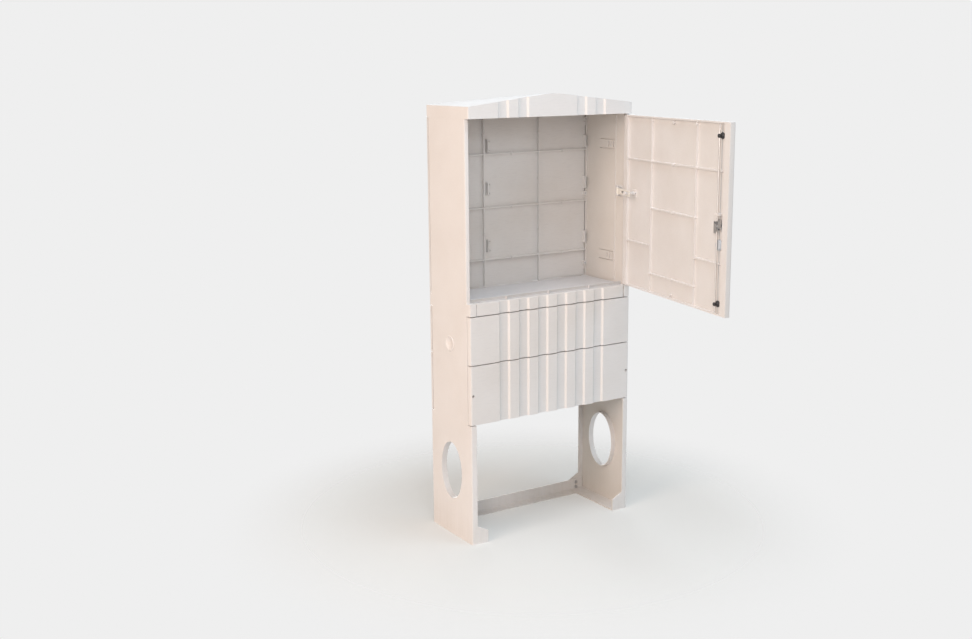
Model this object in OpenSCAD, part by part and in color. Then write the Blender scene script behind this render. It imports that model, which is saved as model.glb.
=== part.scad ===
// Roadside cable cabinet: two full-height side mouldings carry a gable roof, a fluted door on pin hinges,
// a floor shelf, fluted base panels front and rear, and a rear foot rail.
// Millimetres, +Z up, origin on the ground at the centre of the footprint, front face towards -Y.
// The door is drawn shut and then swung about its hinge, so every piece on it is placed in shut coordinates.

/* [Cabinet] */
// Width over the two sides
cab_w = 785; // [740:5:860]
// Depth from the front face to the back face
cab_d = 320; // [310:5:380]
// Height of the open legs
leg_top_z = 500; // [470:5:560]
// Seam between the lower and the upper base panels
split_z = 744; // [720:2:800]
// Seam under the strip below the door
strip_z = 940; // [900:5:950]
// Sill under the door
sill_z = 990; // [980:2:1020]
// Underside of the roof fascia
fascia_z = 1702; // [1680:2:1800]
// Height of the fascia at the eaves
fascia_h = 46; // [36:1:60]
// Rise of the roof's slopes above the eaves, to where they would meet
ridge_rise = 45; // [20:1:70]
// Half width of the softened ridge
ridge_soft = 50; // [20:5:170]
// How far the ridge falls from the front to the rear
ridge_fall = 42; // [0:1:44]

/* [Walls and seams] */
// Wall of the side mouldings
wall_t = 5; // [4:0.5:7]
// Wall of the base panels and strips
panel_t = 4.5; // [3:0.5:6]
// Top and bottom lip of a base panel
lip_t = 4; // [3:0.5:6]
// Wall of the roof
roof_t = 4; // [3:0.5:6]
// Shadow gap between neighbouring panels
seam = 4; // [2:0.5:6]
// Depth of the front panels and of the door
return_d = 23; // [22:1:30]
// Depth of the rear panels
rear_return_d = 14; // [13:1:20]
// Gap between the rear panels and the sides' rear flanges
rear_seam = 0.6; // [0.4:0.1:4]
// Gap between the door's rim and the front jamb
jamb_gap = 5; // [4:0.5:8]
// Radius of the vertical outer corners
edge_r = 7; // [3:1:10]
// Width of the jamb flange beside the door
jamb_w = 17; // [16:1:22]
// Width of the rear flange behind the rear wall
rear_jamb_w = 9; // [8.5:0.5:14]
// Width of the leg's front and rear flange
leg_flange_w = 25; // [16:1:30]
// Width of the shoulder that ends the strip
shoulder_w = 28.5; // [26:0.5:34]
// Upright gap between the shoulder and the strip
strip_gap = 2; // [1:0.5:4]

/* [Flutes] */
// Distance between flute centres
flute_pitch = 93; // [80:1:100]
// Width of a flute at the face
flute_w = 49; // [40:1:56]
// Width of a flute at its floor
flute_floor_w = 37; // [28:1:40]
// Depth of a flute
flute_depth = 7; // [4:0.5:8]
// Softening of the flute edges
flute_r = 2.2; // [1:0.1:4]
// Bare field above the two middle flutes of the door
door_field_h = 183; // [100:1:300]

/* [Legs and foot rail] */
// Width of the foot's bottom flange
foot_w = 75; // [60:1:90]
// Height of the foot at its inner end
foot_h = 50; // [40:1:70]
// Rise of the gusset from the foot to the leg flange
gusset_rise = 26; // [15:1:40]
// Width of the oval cable hole
oval_w = 162; // [140:1:180]
// Height of the oval cable hole
oval_h = 240; // [200:1:260]
// Height of the oval's centre above the ground
oval_z = 275; // [240:1:300]
// Depth of the collar round the oval hole
collar_d = 22; // [15:1:40]
// Wall of the collar
collar_t = 4; // [3:0.5:6]
// Depth of the rail's bottom flange
rail_flange_d = 45; // [30:1:60]
// Spacing of the two rail bolts at each end
rail_bolt_pitch = 22; // [18:1:26]
// Radius of a rail bolt's shank
rail_bolt_r = 4; // [3:0.5:5]
// Radius of a rail bolt's head
rail_head_r = 7.5; // [6:0.5:9]

/* [Side caps] */
// Outer radius of the round side cap
cap_r = 33.5; // [28:0.5:40]
// Radius of the cap's plug
cap_plug_r = 27; // [22:0.5:27.5]
// Height of the cap's centre above the ground
cap_z = 808; // [760:1:860]
// Height of the cap's bead
cap_bead_h = 3.2; // [2:0.2:5]
// Depth of the cap's dish below the wall
cap_dish_d = 7; // [2:0.5:7.5]

/* [Panel screws] */
// Distance of the screws from the cabinet's side
screw_in = 11.5; // [11:0.5:13]
// Height of the screws in the lower panel
screw_z = 621; // [560:1:680]
// Radius of the hole that sinks the screw head
screw_well_r = 5.5; // [5:0.25:6]
// Radius of the screw head
screw_head_r = 5; // [4:0.25:5.5]
// Radius of the screw shank
screw_r = 3; // [2:0.25:3.5]
// Height of the upper panel's stand-off
upper_boss_z = 842; // [800:1:880]

/* [Inside] */
// Thickness of the floor shelf
shelf_t = 6; // [4:0.5:8]
// Height of the lip at the front of the shelf, over the shelf's top
shelf_lip_h = 12; // [6:1:14]
// Thickness of the shelf's lip
shelf_lip_t = 4; // [3:0.5:6]
// Gap between the shelf's front edge and the shut door
shelf_lip_gap = 3; // [2.5:0.5:5]
// Distance of the lip behind the shelf's front edge
shelf_lip_back = 8; // [6:0.5:10]
// Gap between the shelf and the sides' rear flanges
shelf_back_gap = 10; // [1:0.5:16]
// Spacing of the small ribs on the lip
sill_rib_pitch = 204; // [100:1:240]
// Thickness of the rear wall's plate over the lands
rear_plate_t = 12; // [11:0.5:13]
// Height of the ribs inside the rear wall
rear_rib_h = 12; // [6:0.5:13]
// Thickness of the rear wall's ribs
rear_rib_t = 6; // [3:0.5:7]
// Thickness of the door's ribs and of the ribs on the lip
rib_t = 5.5; // [2:0.5:6]
// Distance of the rear wall's upright ribs from the middle
rear_rib_x = 137; // [100:1:200]
// Rear wall's cross ribs, as shares of the door opening's height
rear_rib_rows = [0.1615, 0.4649, 0.7739]; // [0.08:0.0001:0.9]
// Width of the groove along each side edge of the rear wall
corner_groove_w = 5.5; // [4:0.5:7]
// Depth of the groove along each side edge of the rear wall
corner_groove_d = 8; // [4:0.5:8.5]
// Radius of the small gate marks on the ribs
gate_r = 5.5; // [4:0.25:6]
// Mounting brackets, as shares of the door opening's height
bracket_rows = [0.243, 0.5758, 0.823]; // [0.08:0.0001:0.92]
// Left mounting brackets from the middle
bracket_left_x = 120; // [60:1:126]
// Right mounting brackets from the cabinet's side
bracket_right_in = 16.5; // [15:0.5:40]
// Height of a mounting bracket
bracket_h = 52; // [50:1:80]
// How far a mounting bracket stands off the rear wall
bracket_d = 18; // [14:1:23]
// Radius of the bracket's two fixing holes
bracket_hole_r = 2.5; // [1.5:0.25:3]
// Distance between the bracket's two fixing holes
bracket_pitch = 38; // [34:1:40]
// Corner clips, as shares of the door opening's height
clip_rows = [0.0787, 0.5084, 0.9551]; // [0.05:0.0001:0.97]
// Height of a corner clip
clip_h = 18; // [12:1:30]
// Depth of the raised band inside the side walls
band_t = 3.5; // [2:0.5:5]
// Front edge of the raised band behind the front jamb
band_back = 67; // [64:1:80]
// Width of the raised band
band_w = 110; // [90:1:120]
// Slotted fields, as shares of the door opening's height
field_rows = [0.1545, 0.8174]; // [0.1:0.0001:0.9]
// Height of a slotted field
field_h = 38; // [30:1:50]
// Depth of the slots in a field
slot_d = 6; // [3:0.25:7]

/* [Door] */
// How far the door stands open
door_angle = 80; // [0:1:100]
// Gap over the door
door_top_gap = 5; // [3:0.5:8]
// Gap under the door
door_bottom_gap = 3.5; // [3:0.5:8]
// Thickness of the door's plate over the lands
door_plate_t = 13; // [12:0.5:15]
// Thickness of the door's top and bottom rim
door_rim_t = 6; // [4:0.5:8]
// Width of the rim at the door's free edge
free_rim_w = 36; // [20:1:36]
// Width of the rim at the door's hinge edge
hinge_rim_w = 34; // [24:1:36]
// Height of the ribs inside the door
door_rib_h = 9; // [5:0.5:9.5]
// Distance of the door's upright ribs from the middle
door_rib_x = 166; // [140:1:220]
// Door's full cross rib, as a share of the door opening's height
door_full_rib = 0.7458; // [0.66:0.0001:0.86]
// Door's cross ribs between the upright ribs, as shares of the door opening's height
door_mid_ribs = [0.1152, 0.4846]; // [0.06:0.0001:0.56]
// Door's cross ribs beside the upright ribs, as a share of the door opening's height
door_side_rib = 0.2725; // [0.2:0.0001:0.34]
// Hinge axis from the cabinet's side
hinge_in_x = 12.5; // [12:0.5:14]
// Hinge axis from the front face
hinge_in_y = 13; // [12:0.5:14]
// Radius of the hinge pins
pin_r = 4; // [3:0.25:5]
// Depth of the hinge pin in the door
pin_depth = 22; // [15:1:30]

/* [Running fits] */
// Radial clearance of a pin or shaft that turns
run_fit = 0.06; // [0.02:0.01:0.1]
// Gap between pieces that pass each other
pass_gap = 0.5; // [0.3:0.1:1]

/* [Lock] */
// Spindle and rods from the door's free edge
lock_in = 60.5; // [56:0.5:72]
// Height of the spindle above the sill
spindle_up = 333; // [300:1:360]
// Quarter turn of the handle away from locked
handle_angle = 90; // [0:1:90]
// Radius of the spindle
spindle_r = 8; // [7:0.25:9]
// Radius of the cam's two pins from the spindle
cam_r = 15; // [14:0.25:16]
// Thickness of the cam
cam_t = 3.5; // [3:0.25:5]
// Radius of a cam pin
cam_pin_r = 2.5; // [2:0.1:3]
// Radius of the lock rods
rod_r = 3; // [2.5:0.25:3.25]
// Rod axis from the door's inner plate
rod_off = 14; // [13.5:0.5:15]
// Thickness of the flat foot on each rod
rod_foot_t = 3; // [2:0.25:4]
// Top end of the drawn-in upper rod under the fascia
rod_top_drop = 13; // [10:1:16]
// Bottom end of the drawn-in lower rod above the sill
rod_bottom_rise = 15; // [14:1:17]
// Upper guide under the fascia
guide_top_drop = 55; // [45:1:80]
// Lower guide above the sill
guide_bottom_rise = 45; // [38:1:70]
// Radius of a rod guide's flange
guide_r = 12; // [10:0.5:13]
// Radius of a rod guide's stem
guide_stem_r = 7.5; // [6.5:0.25:9]

/* [Handle] */
// Width of the handle plate
plate_w = 56; // [50:1:64]
// Height of the handle plate
plate_h = 178; // [160:1:200]
// Thickness of the handle plate
plate_t = 10; // [8:0.5:12]
// Corner radius of the handle plate
plate_r = 10; // [6:0.5:14]
// Spindle from the top of the handle plate
plate_top = 20; // [16:1:26]
// Length of the lever under its pivot
lever_l = 150; // [130:1:155]
// Width of the lever
lever_w = 26; // [24:1:30]
// Thickness of the lever
lever_t = 14; // [12:0.5:16]
// Gap between the lever and the handle plate
lever_gap = 4; // [3:0.5:6]
// Lever pivot axis from the lever's back
pivot_in = 9; // [8:0.25:10]
// Radius of the lever's pivot pin
pivot_r = 3; // [2.5:0.1:3.5]
// Lock barrel from the lever's pivot
barrel_down = 130; // [110:1:132]
// Radius of the lock barrel
barrel_r = 9; // [8:0.25:10]
// Radius of the key plug
plug_r = 5; // [4:0.25:6]
// Fixing disc inside the door, below the spindle
disc_down = 70; // [60:1:90]
// Radius of the fixing disc
disc_r = 20; // [15:0.5:21]

/* [Door stay] */
// Stay above the sill
stay_up = 392; // [370:1:420]
// Stay pivot from the side wall's inner face
stay_in = 19.5; // [18:0.5:21]
// Stay pivot behind the front jamb
stay_back = 28; // [22:1:34]
// Post on the door from the hinge axis
post_in = 72; // [66:1:80]
// Height where the loop crosses the post, over the door's plate
post_cross = 34; // [30:1:38]
// Radius of the post
post_r = 3.5; // [2.5:0.25:4]
// Height of the loop
loop_h = 25; // [22:1:28]
// Thickness of the loop
loop_t = 3.2; // [2:0.2:4]
// Width of the loop's upper and lower bars
loop_bar = 7.5; // [4:0.5:8]
// Radius of the stay's pin
stay_pin_r = 3; // [2:0.25:4]

/* [Hidden] */
$fn = 64;
soft_steps = 2;
ridge_steps = 12;
soft_share = 0.45;
eps = 1;
hw = cab_w / 2;
yf = -cab_d / 2;
yb = cab_d / 2;
eave_z = fascia_z + fascia_h;
ridge_z = eave_z + ridge_rise;
roof_flange_t = 5;
half_seam = seam / 2;
jamb_y = yf + return_d + jamb_gap;
rear_jamb_y = yb - rear_return_d - rear_seam;
inner_x = hw - wall_t;
band_y0 = jamb_y + band_back;
shelf_z = sill_z - wall_t;
shelf_top = shelf_z + shelf_t;
flute_xs = [for (i = [-2.5 : 1 : 2.5]) i * flute_pitch];
outer_flute_xs = [for (i = [0, 1, 4, 5]) flute_xs[i]];
middle_flute_xs = [flute_xs[2], flute_xs[3]];
screw_x = hw - screw_in;
screw_fit = 0.1;
boss_merge = 1;
boss_r = screw_in - panel_t + boss_merge;
screw_seat_t = 5;
screw_head_t = 4;
screw_tail = 10;

hinge_x = hw - hinge_in_x;
hinge_y = yf + hinge_in_y;
door_z0 = sill_z + door_bottom_gap;
door_z1 = fascia_z - door_top_gap;
door_in_y = yf + door_plate_t;
door_rim_y = yf + return_d;
hinge_boss_in = 3;
hinge_boss_r = hinge_in_x - hinge_boss_in;
hinge_chamfer = 6;
pin_floor = 8;
pin_flange_w = 3;
pin_flange_r = pin_r + pin_flange_w;
pin_flange_t = door_bottom_gap - pass_gap;

lock_x = -hw + lock_in;
spindle_z = sill_z + spindle_up;
rod_y = door_in_y + rod_off;
rod_travel = 2 * cam_r * sin(45);
rod_shift = rod_travel * (1 - handle_angle / 90);
rod_hole_gap = 2;
rod_hole_r = rod_r + rod_hole_gap;
cam_y = rod_y - rod_foot_t / 2 - pass_gap - cam_t;
cam_pin_x = cam_r * cos(45);
foot_slot_h = 2 * cam_pin_r + 1.8;
foot_slot_l = cam_r - cam_pin_x + 2 * cam_pin_r + 1.6;
foot_rim = 3;
foot_in = 5;
foot_out = cam_r + cam_pin_r + foot_rim + pass_gap;
foot_reach = 28;
foot_bar_h = 8;
rib_free_end = 12;
plate_y = yf - plate_t;
lever_y1 = plate_y - lever_gap;
lever_y0 = lever_y1 - lever_t;
pivot_y = lever_y1 - pivot_in;
cheek_gap = 0.3;
tongue_w = 9;
tongue_h = 6.5;
cover_t = 2;
cover_gap = 0.4;
cover_r = barrel_r + 1.5;
cover_pivot = 17;
rivet_r = 2;
rivet_head_r = 4;
rivet_head_t = 1.5;
disc_t = 9;
stud_r = 5;

stay_z = sill_z + stay_up;
stay_x = inner_x - stay_in;
stay_y = jamb_y + stay_back;
post_x = hinge_x - post_in;
post_y = door_in_y + post_cross;
post_rest = swing([post_x, post_y], door_angle);
stay_angle = atan2(post_rest[1] - stay_y, post_rest[0] - stay_x);
loop_near = 42;
loop_far = 128;
loop_end = 6;
ear_t = 4;
ear_r = 8;
knuckle_wall = 3;
knuckle_r = stay_pin_r + knuckle_wall;

gel = [0.93, 0.91, 0.89];
gel_shade = [0.84, 0.82, 0.80];
zinc = [0.72, 0.73, 0.75];
dark = [0.16, 0.16, 0.17];
pale_grey = [0.78, 0.80, 0.82];

// Height of a share of the door opening
function row_z(share) = sill_z + share * (fascia_z - sill_z);

// A point of the shut door after the door has swung by an angle
function swing(p, a) = [
    hinge_x + cos(a) * (p[0] - hinge_x) - sin(a) * (p[1] - hinge_y),
    hinge_y + sin(a) * (p[0] - hinge_x) + cos(a) * (p[1] - hinge_y)
];

// Outline with each corner softened by its own length
function blend(a, p, b, s) = (1 - s) * (1 - s) * a + 2 * s * (1 - s) * p + s * s * b;
function toward(p, q, d) = p + min(d, soft_share * norm(q - p)) * (q - p) / norm(q - p);
function soft_corner(a, p, b, r, n) =
    r == 0 ? [p] : [for (i = [0 : n]) blend(toward(p, a, r), p, toward(p, b, r), i / n)];
function soften(pts, radii, n = soft_steps) = [
    for (i = [0 : len(pts) - 1])
        each soft_corner(pts[(i + len(pts) - 1) % len(pts)], pts[i], pts[(i + 1) % len(pts)], radii[i], n)
];
function repeated(value, count) = [for (i = [1 : count]) value];

// Fluted face from left to right at depth y, widened by grow for the inner skin
function flute_line(xs, y, grow) = [
    for (x = xs)
        each [
            [x - flute_w / 2 - grow, y], [x - flute_floor_w / 2 - grow, y + flute_depth],
            [x + flute_floor_w / 2 + grow, y + flute_depth], [x + flute_w / 2 + grow, y]
        ]
];
function face_outline(half, depth, xs) =
    concat([[-half, depth], [-half, 0]], flute_line(xs, 0, 0), [[half, 0], [half, depth]]);
function face_radii(xs) = concat([0, edge_r], repeated(flute_r, 4 * len(xs)), [edge_r, 0]);
function pocket_outline(half, depth, xs) =
    concat([[-half, depth], [-half, panel_t]], flute_line(xs, panel_t, panel_t / 2), [[half, panel_t], [half, depth]]);

// Fluted tray with its face at y = 0 and its walls running to y = depth
module tray(half, depth, h) {
    difference() {
        linear_extrude(h) polygon(soften(face_outline(half, depth, flute_xs), face_radii(flute_xs)));
        translate([0, 0, lip_t])
            linear_extrude(h - 2 * lip_t) polygon(pocket_outline(half - panel_t, depth + eps, flute_xs));
    }
}

module to_front() {
    translate([0, yf, 0]) children();
}

module to_rear() {
    translate([0, yb, 0]) mirror([0, 1, 0]) children();
}

// Cylinder along +Y from y0 to y1
module y_rod(r, y0, y1) {
    translate([0, y0, 0]) rotate([-90, 0, 0]) cylinder(r = r, h = y1 - y0);
}

module both_sides(x) {
    for (side = [-1, 1]) translate([side * x, 0, 0]) children();
}

// Stand-offs behind a panel's face that meet the side's flange, reach deep from the face
module stand_offs(z, reach) {
    both_sides(screw_x) translate([0, 0, z]) y_rod(boss_r, panel_t - eps, reach);
}

module screw_wells(z, reach) {
    both_sides(screw_x) translate([0, 0, z]) {
        y_rod(screw_well_r, -eps, reach - screw_seat_t);
        y_rod(screw_r + screw_fit, -eps, reach + eps);
    }
}

module base_panel(z0, z1, depth, reach, boss_z, screwed) {
    h = z1 - z0 - seam;
    difference() {
        union() {
            translate([0, 0, z0 + half_seam]) tray(hw, depth, h);
            stand_offs(boss_z, reach);
        }
        if (screwed) screw_wells(boss_z, reach);
    }
}

// Strip between the shoulders, with a tongue behind each shoulder
module strip(depth) {
    half = hw - shoulder_w - strip_gap;
    tongue = 20;
    z0 = strip_z + half_seam;
    h = sill_z - z0;
    translate([0, 0, z0]) tray(half, depth, h);
    both_sides(half) translate([-tongue / 2, wall_t, z0 + h / 3]) cube([tongue, panel_t, h / 3]);
}

front_reach = jamb_y - yf;
rear_reach = yb - rear_jamb_y;

module front_panel_lower() {
    color(gel) to_front() base_panel(leg_top_z, split_z, return_d, front_reach, screw_z, true);
}

module front_panel_upper() {
    color(gel) to_front() base_panel(split_z, strip_z, return_d, front_reach, upper_boss_z, false);
}

module front_strip() {
    color(gel) to_front() strip(return_d);
}

module rear_panel_lower() {
    color(gel) to_rear() base_panel(leg_top_z, split_z, rear_return_d, rear_reach, screw_z, true);
}

module rear_panel_upper() {
    color(gel) to_rear() base_panel(split_z, strip_z, rear_return_d, rear_reach, upper_boss_z, false);
}

module rear_strip() {
    color(gel) to_rear() strip(rear_return_d);
}

module screw(reach) {
    seat = reach - screw_seat_t;
    difference() {
        union() {
            y_rod(screw_head_r, seat - screw_head_t, seat);
            y_rod(screw_r, seat - eps, reach + screw_tail);
        }
        y_rod(screw_head_r / 2, seat - screw_head_t - eps, seat - screw_head_t / 2, $fn = 6);
    }
}

module panel_screws() {
    color(zinc) {
        to_front() both_sides(screw_x) translate([0, 0, screw_z]) screw(front_reach);
        to_rear() both_sides(screw_x) translate([0, 0, screw_z]) screw(rear_reach);
    }
}

// Oval with half width a and half height b, as points of its curve
module oval(a, b) {
    steps = 72;
    polygon([for (i = [0 : steps - 1]) [a * cos(i * 360 / steps), b * sin(i * 360 / steps)]]);
}

// Shape in the Y-Z plane, extruded along +X from x by d
module along_x(x, d) {
    translate([x, 0, 0]) rotate([90, 0, 90]) linear_extrude(d) children();
}

module side_section(flange, rear_flange, y0, y1) {
    polygon(soften(
        [
            [-hw + flange, y0], [-hw, y0], [-hw, y1], [-hw + rear_flange, y1], [-hw + rear_flange, y1 - wall_t],
            [-inner_x, y1 - wall_t], [-inner_x, y0 + wall_t], [-hw + flange, y0 + wall_t]
        ],
        [0, edge_r, edge_r, 0, 0, 0, 0, 0]
    ));
}

module side_run(z0, z1, flange, rear_flange, y0, y1) {
    translate([0, 0, z0]) linear_extrude(z1 - z0) side_section(flange, rear_flange, y0, y1);
}

// Plate that closes a step between the full-depth and the set-back runs of the side
module step_plate(z, flange) {
    translate([0, 0, z]) linear_extrude(wall_t) difference() {
        polygon(soften([[-hw + flange, yf], [-hw, yf], [-hw, yb], [-hw + flange, yb]], [0, edge_r, edge_r, 0]));
        translate([-inner_x, jamb_y + wall_t]) square([flange, rear_jamb_y - jamb_y - 2 * wall_t]);
    }
}

module foot() {
    outline = [
        [-hw + foot_w, 0], [-hw + foot_w, foot_h], [-hw + leg_flange_w, foot_h + gusset_rise],
        [-hw + edge_r, foot_h + gusset_rise], [-hw + edge_r, 0]
    ];
    for (y = [yf + wall_t, yb]) translate([0, y, 0]) rotate([90, 0, 0]) linear_extrude(wall_t) polygon(outline);
    translate([-hw + edge_r, yf, 0]) cube([foot_w - edge_r, cab_d, wall_t]);
    translate([-hw + wall_t / 2, yf + edge_r, 0]) cube([edge_r, cab_d - 2 * edge_r, wall_t]);
}

module rail_bolt_places() {
    both_sides(hw - foot_w * 0.6)
        for (s = [-1, 1]) translate([0, 0, foot_h / 2 + s * rail_bolt_pitch / 2]) children();
}

// Slits and three slots that outline a snap-in field on the raised band
module slotted_field() {
    slit = 3;
    slot_w = 5.5;
    slot_pitch = 18;
    x = -inner_x + band_t - slot_d;
    for (s = [-1, 1])
        translate([x, band_y0 + slot_w, s * field_h / 2 - slit / 2]) cube([slot_d + eps, band_w - 2 * slot_w, slit]);
    for (i = [0 : 2])
        translate([x, band_y0 + 2 * slot_w + i * slot_pitch, -field_h / 3])
            cube([slot_d + eps, slot_w, 2 * field_h / 3]);
}

module side_moulding() {
    leg_z1 = leg_top_z - half_seam;
    shoulder_z0 = strip_z + half_seam;
    ledge_w = 15;
    band_foot = 12;
    difference() {
        union() {
            side_run(0, leg_z1, leg_flange_w, leg_flange_w, yf, yb);
            step_plate(leg_z1 - wall_t, leg_flange_w);
            side_run(leg_z1 - wall_t, shoulder_z0 + wall_t, jamb_w, jamb_w, jamb_y, rear_jamb_y);
            step_plate(shoulder_z0, shoulder_w);
            side_run(shoulder_z0, sill_z, shoulder_w, shoulder_w, yf, yb);
            step_plate(sill_z - wall_t, shoulder_w);
            side_run(sill_z - wall_t, fascia_z, jamb_w, rear_jamb_w, jamb_y, rear_jamb_y);
            foot();
            translate([-inner_x - wall_t / 2, jamb_y + 2 * wall_t, shelf_z - shelf_t])
                cube([ledge_w + wall_t / 2, rear_jamb_y - jamb_y - 4 * wall_t, shelf_t]);
            translate([-inner_x - wall_t / 2, band_y0, shelf_top + band_foot])
                cube([band_t + wall_t / 2, band_w, fascia_z - shelf_top - 2 * band_foot]);
            translate([0, 0, oval_z]) along_x(-hw + wall_t / 2, collar_d)
                oval(oval_w / 2 + collar_t, oval_h / 2 + collar_t);
        }
        translate([0, 0, oval_z]) along_x(-hw - eps, collar_d + wall_t + 2 * eps) oval(oval_w / 2, oval_h / 2);
        translate([-hw - eps, 0, cap_z]) rotate([0, 90, 0]) cylinder(r = cap_plug_r, h = wall_t + 2 * eps);
        for (row = field_rows) translate([0, 0, row_z(row)]) slotted_field();
        translate([-screw_x, 0, screw_z]) y_rod(screw_r + screw_fit, jamb_y - eps, jamb_y + wall_t + eps);
        translate([-screw_x, 0, screw_z]) y_rod(screw_r + screw_fit, rear_jamb_y - wall_t - eps, rear_jamb_y + eps);
        rail_bolt_places() y_rod(rail_bolt_r + screw_fit, yb - wall_t - eps, yb + eps);
    }
}

module left_side() {
    color(gel) side_moulding();
}

module right_side() {
    color(gel) difference() {
        mirror([1, 0, 0]) side_moulding();
        translate([hinge_x, hinge_y, sill_z - wall_t - eps]) cylinder(r = pin_r, h = wall_t + 2 * eps);
    }
}

// Round dished cap with a bead, on its axis and facing +Z
module side_cap() {
    cap_floor = 2.5;
    plug_d = cap_dish_d + cap_floor;
    plug_fit = 0.2;
    dish_r = cap_plug_r - 3;
    rotate_extrude() polygon(soften(
        [
            [0, -cap_dish_d], [dish_r / 2, -cap_dish_d * 0.8], [dish_r, 0], [cap_plug_r, cap_bead_h],
            [cap_r - 1, cap_bead_h], [cap_r, 0], [cap_plug_r - plug_fit, 0], [cap_plug_r - plug_fit, -plug_d], [0, -plug_d]
        ],
        [0, 6, 4, 3, 2, 0, 0, 1, 0]
    ));
}

module side_caps() {
    color(gel) for (side = [-1, 1]) translate([side * hw, 0, cap_z]) rotate([0, side * 90, 0]) side_cap();
}

module rear_rail() {
    half = inner_x - 2 * eps;
    color(gel) difference() {
        union() {
            translate([-half, yb - 2 * wall_t, 0]) cube([2 * half, wall_t, foot_h]);
            translate([-hw + foot_w + eps, yb - 2 * wall_t - rail_flange_d, 0])
                cube([cab_w - 2 * foot_w - 2 * eps, rail_flange_d + eps, wall_t]);
        }
        for (side = [-1, 1])
            translate([side * hw, yb - 2 * wall_t - eps, 0])
                translate([-foot_w, 0, -eps]) cube([2 * foot_w, wall_t + 2 * eps, wall_t + eps]);
        rail_bolt_places() y_rod(rail_bolt_r + screw_fit, yb - 2 * wall_t - eps, yb);
    }
}

module rail_bolts() {
    head_t = 5.5;
    color(zinc) rail_bolt_places() {
        translate([0, yb - 2 * wall_t - head_t, 0]) rotate([-90, 0, 0]) cylinder(r = rail_head_r, h = head_t, $fn = 6);
        y_rod(rail_bolt_r, yb - 2 * wall_t - eps, yb);
    }
}

module floor_shelf() {
    side_gap = 1;
    nose_y = door_rim_y + shelf_lip_gap;
    lip_y = nose_y + shelf_lip_back;
    plate_y0 = jamb_y + wall_t + pass_gap;
    plate_y1 = rear_jamb_y - wall_t - shelf_back_gap;
    lip_z0 = sill_z + pass_gap;
    lip_z1 = shelf_top + shelf_lip_h;
    lip_half = hw - jamb_w - side_gap;
    nose_half = hw - shoulder_w - side_gap;
    color(gel_shade) difference() {
        union() {
            translate([-inner_x + band_t + side_gap, plate_y0, shelf_z])
                cube([2 * (inner_x - band_t - side_gap), plate_y1 - plate_y0, shelf_t]);
            translate([-nose_half, nose_y, shelf_z]) cube([2 * nose_half, plate_y0 + wall_t - nose_y, shelf_t]);
            translate([-nose_half, lip_y, shelf_z]) cube([2 * nose_half, shelf_lip_t, lip_z1 - shelf_z]);
            translate([-lip_half, lip_y, lip_z0]) cube([2 * lip_half, shelf_lip_t, lip_z1 - lip_z0]);
            for (i = [-1 : 1])
                translate([i * sill_rib_pitch - rib_t / 2, nose_y, shelf_z])
                    cube([rib_t, shelf_lip_back + eps, shelf_t + shelf_lip_h]);
        }
        translate([lock_x, rod_y, shelf_z - eps]) cylinder(r = rod_hole_r, h = shelf_t + shelf_lip_h + 2 * eps);
    }
}

// Rear wall: fluted outside, flat inside with a grid of ribs
module rear_wall() {
    z0 = sill_z + half_seam;
    h = fascia_z - half_seam - z0;
    in_y = yb - rear_plate_t;
    rib_end_gap = 4;
    rib_half = hw - rear_jamb_w - rib_end_gap;
    nub_over = 2.5;
    nub_h = rear_rib_h + nub_over;
    boss_drop = clip_h / 2 + boss_r + half_seam;
    rows = concat(rear_rib_rows, [1]);
    groove_x = hw - panel_t - corner_groove_w / 2;
    color(gel_shade) {
        to_rear() difference() {
            translate([0, 0, z0]) linear_extrude(h)
                polygon(soften(face_outline(hw, rear_return_d, flute_xs), face_radii(flute_xs)));
            translate([-hw + panel_t, rear_plate_t, z0 + lip_t]) cube([cab_w - 2 * panel_t, return_d, h - 2 * lip_t]);
            both_sides(groove_x) translate([-corner_groove_w / 2, rear_plate_t - corner_groove_d, z0 + lip_t])
                cube([corner_groove_w, corner_groove_d + eps, h - 2 * lip_t]);
        }
        for (x = [-rear_rib_x, rear_rib_x]) {
            translate([x - rear_rib_t / 2, in_y - rear_rib_h, z0]) cube([rear_rib_t, rear_rib_h + eps, h]);
            for (i = [0 : len(rear_rib_rows) - 1])
                translate([x, 0, row_z((rows[i] + rows[i + 1]) / 2)]) y_rod(gate_r, in_y - nub_h, in_y + eps);
        }
        for (row = rear_rib_rows) {
            translate([-rib_half, in_y - rear_rib_h, row_z(row) - rear_rib_t / 2])
                cube([2 * rib_half, rear_rib_h + eps, rear_rib_t]);
            for (x = [-rear_rib_x, 0, rear_rib_x, (rear_rib_x + rib_half) / 2])
                translate([x, 0, row_z(row)]) y_rod(gate_r, in_y - nub_h, in_y + eps);
        }
        for (row = clip_rows) both_sides(screw_x)
            translate([0, 0, row_z(row) - boss_drop]) y_rod(boss_r, rear_jamb_y, in_y + corner_groove_d + eps);
    }
}

// C-shaped bracket that stands off the rear wall, with a fixing hole in each arm
module mounting_bracket() {
    spine = 4;
    arm = 7;
    arm_h = 10;
    in_y = yb - rear_plate_t;
    difference() {
        union() {
            translate([-spine, in_y - bracket_d, -bracket_h / 2]) cube([spine, bracket_d, bracket_h]);
            for (s = [-1, 1])
                translate([-eps, in_y - bracket_d, s * bracket_pitch / 2 - arm_h / 2]) cube([arm + eps, bracket_d, arm_h]);
        }
        for (s = [-1, 1])
            translate([arm / 2, 0, s * bracket_pitch / 2]) y_rod(bracket_hole_r, in_y - bracket_d - eps, in_y - bracket_d / 3);
    }
}

module mounting_brackets() {
    color(gel) for (row = bracket_rows) for (x = [-bracket_left_x, hw - bracket_right_in])
        translate([x, 0, row_z(row)]) mounting_bracket();
}

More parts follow.
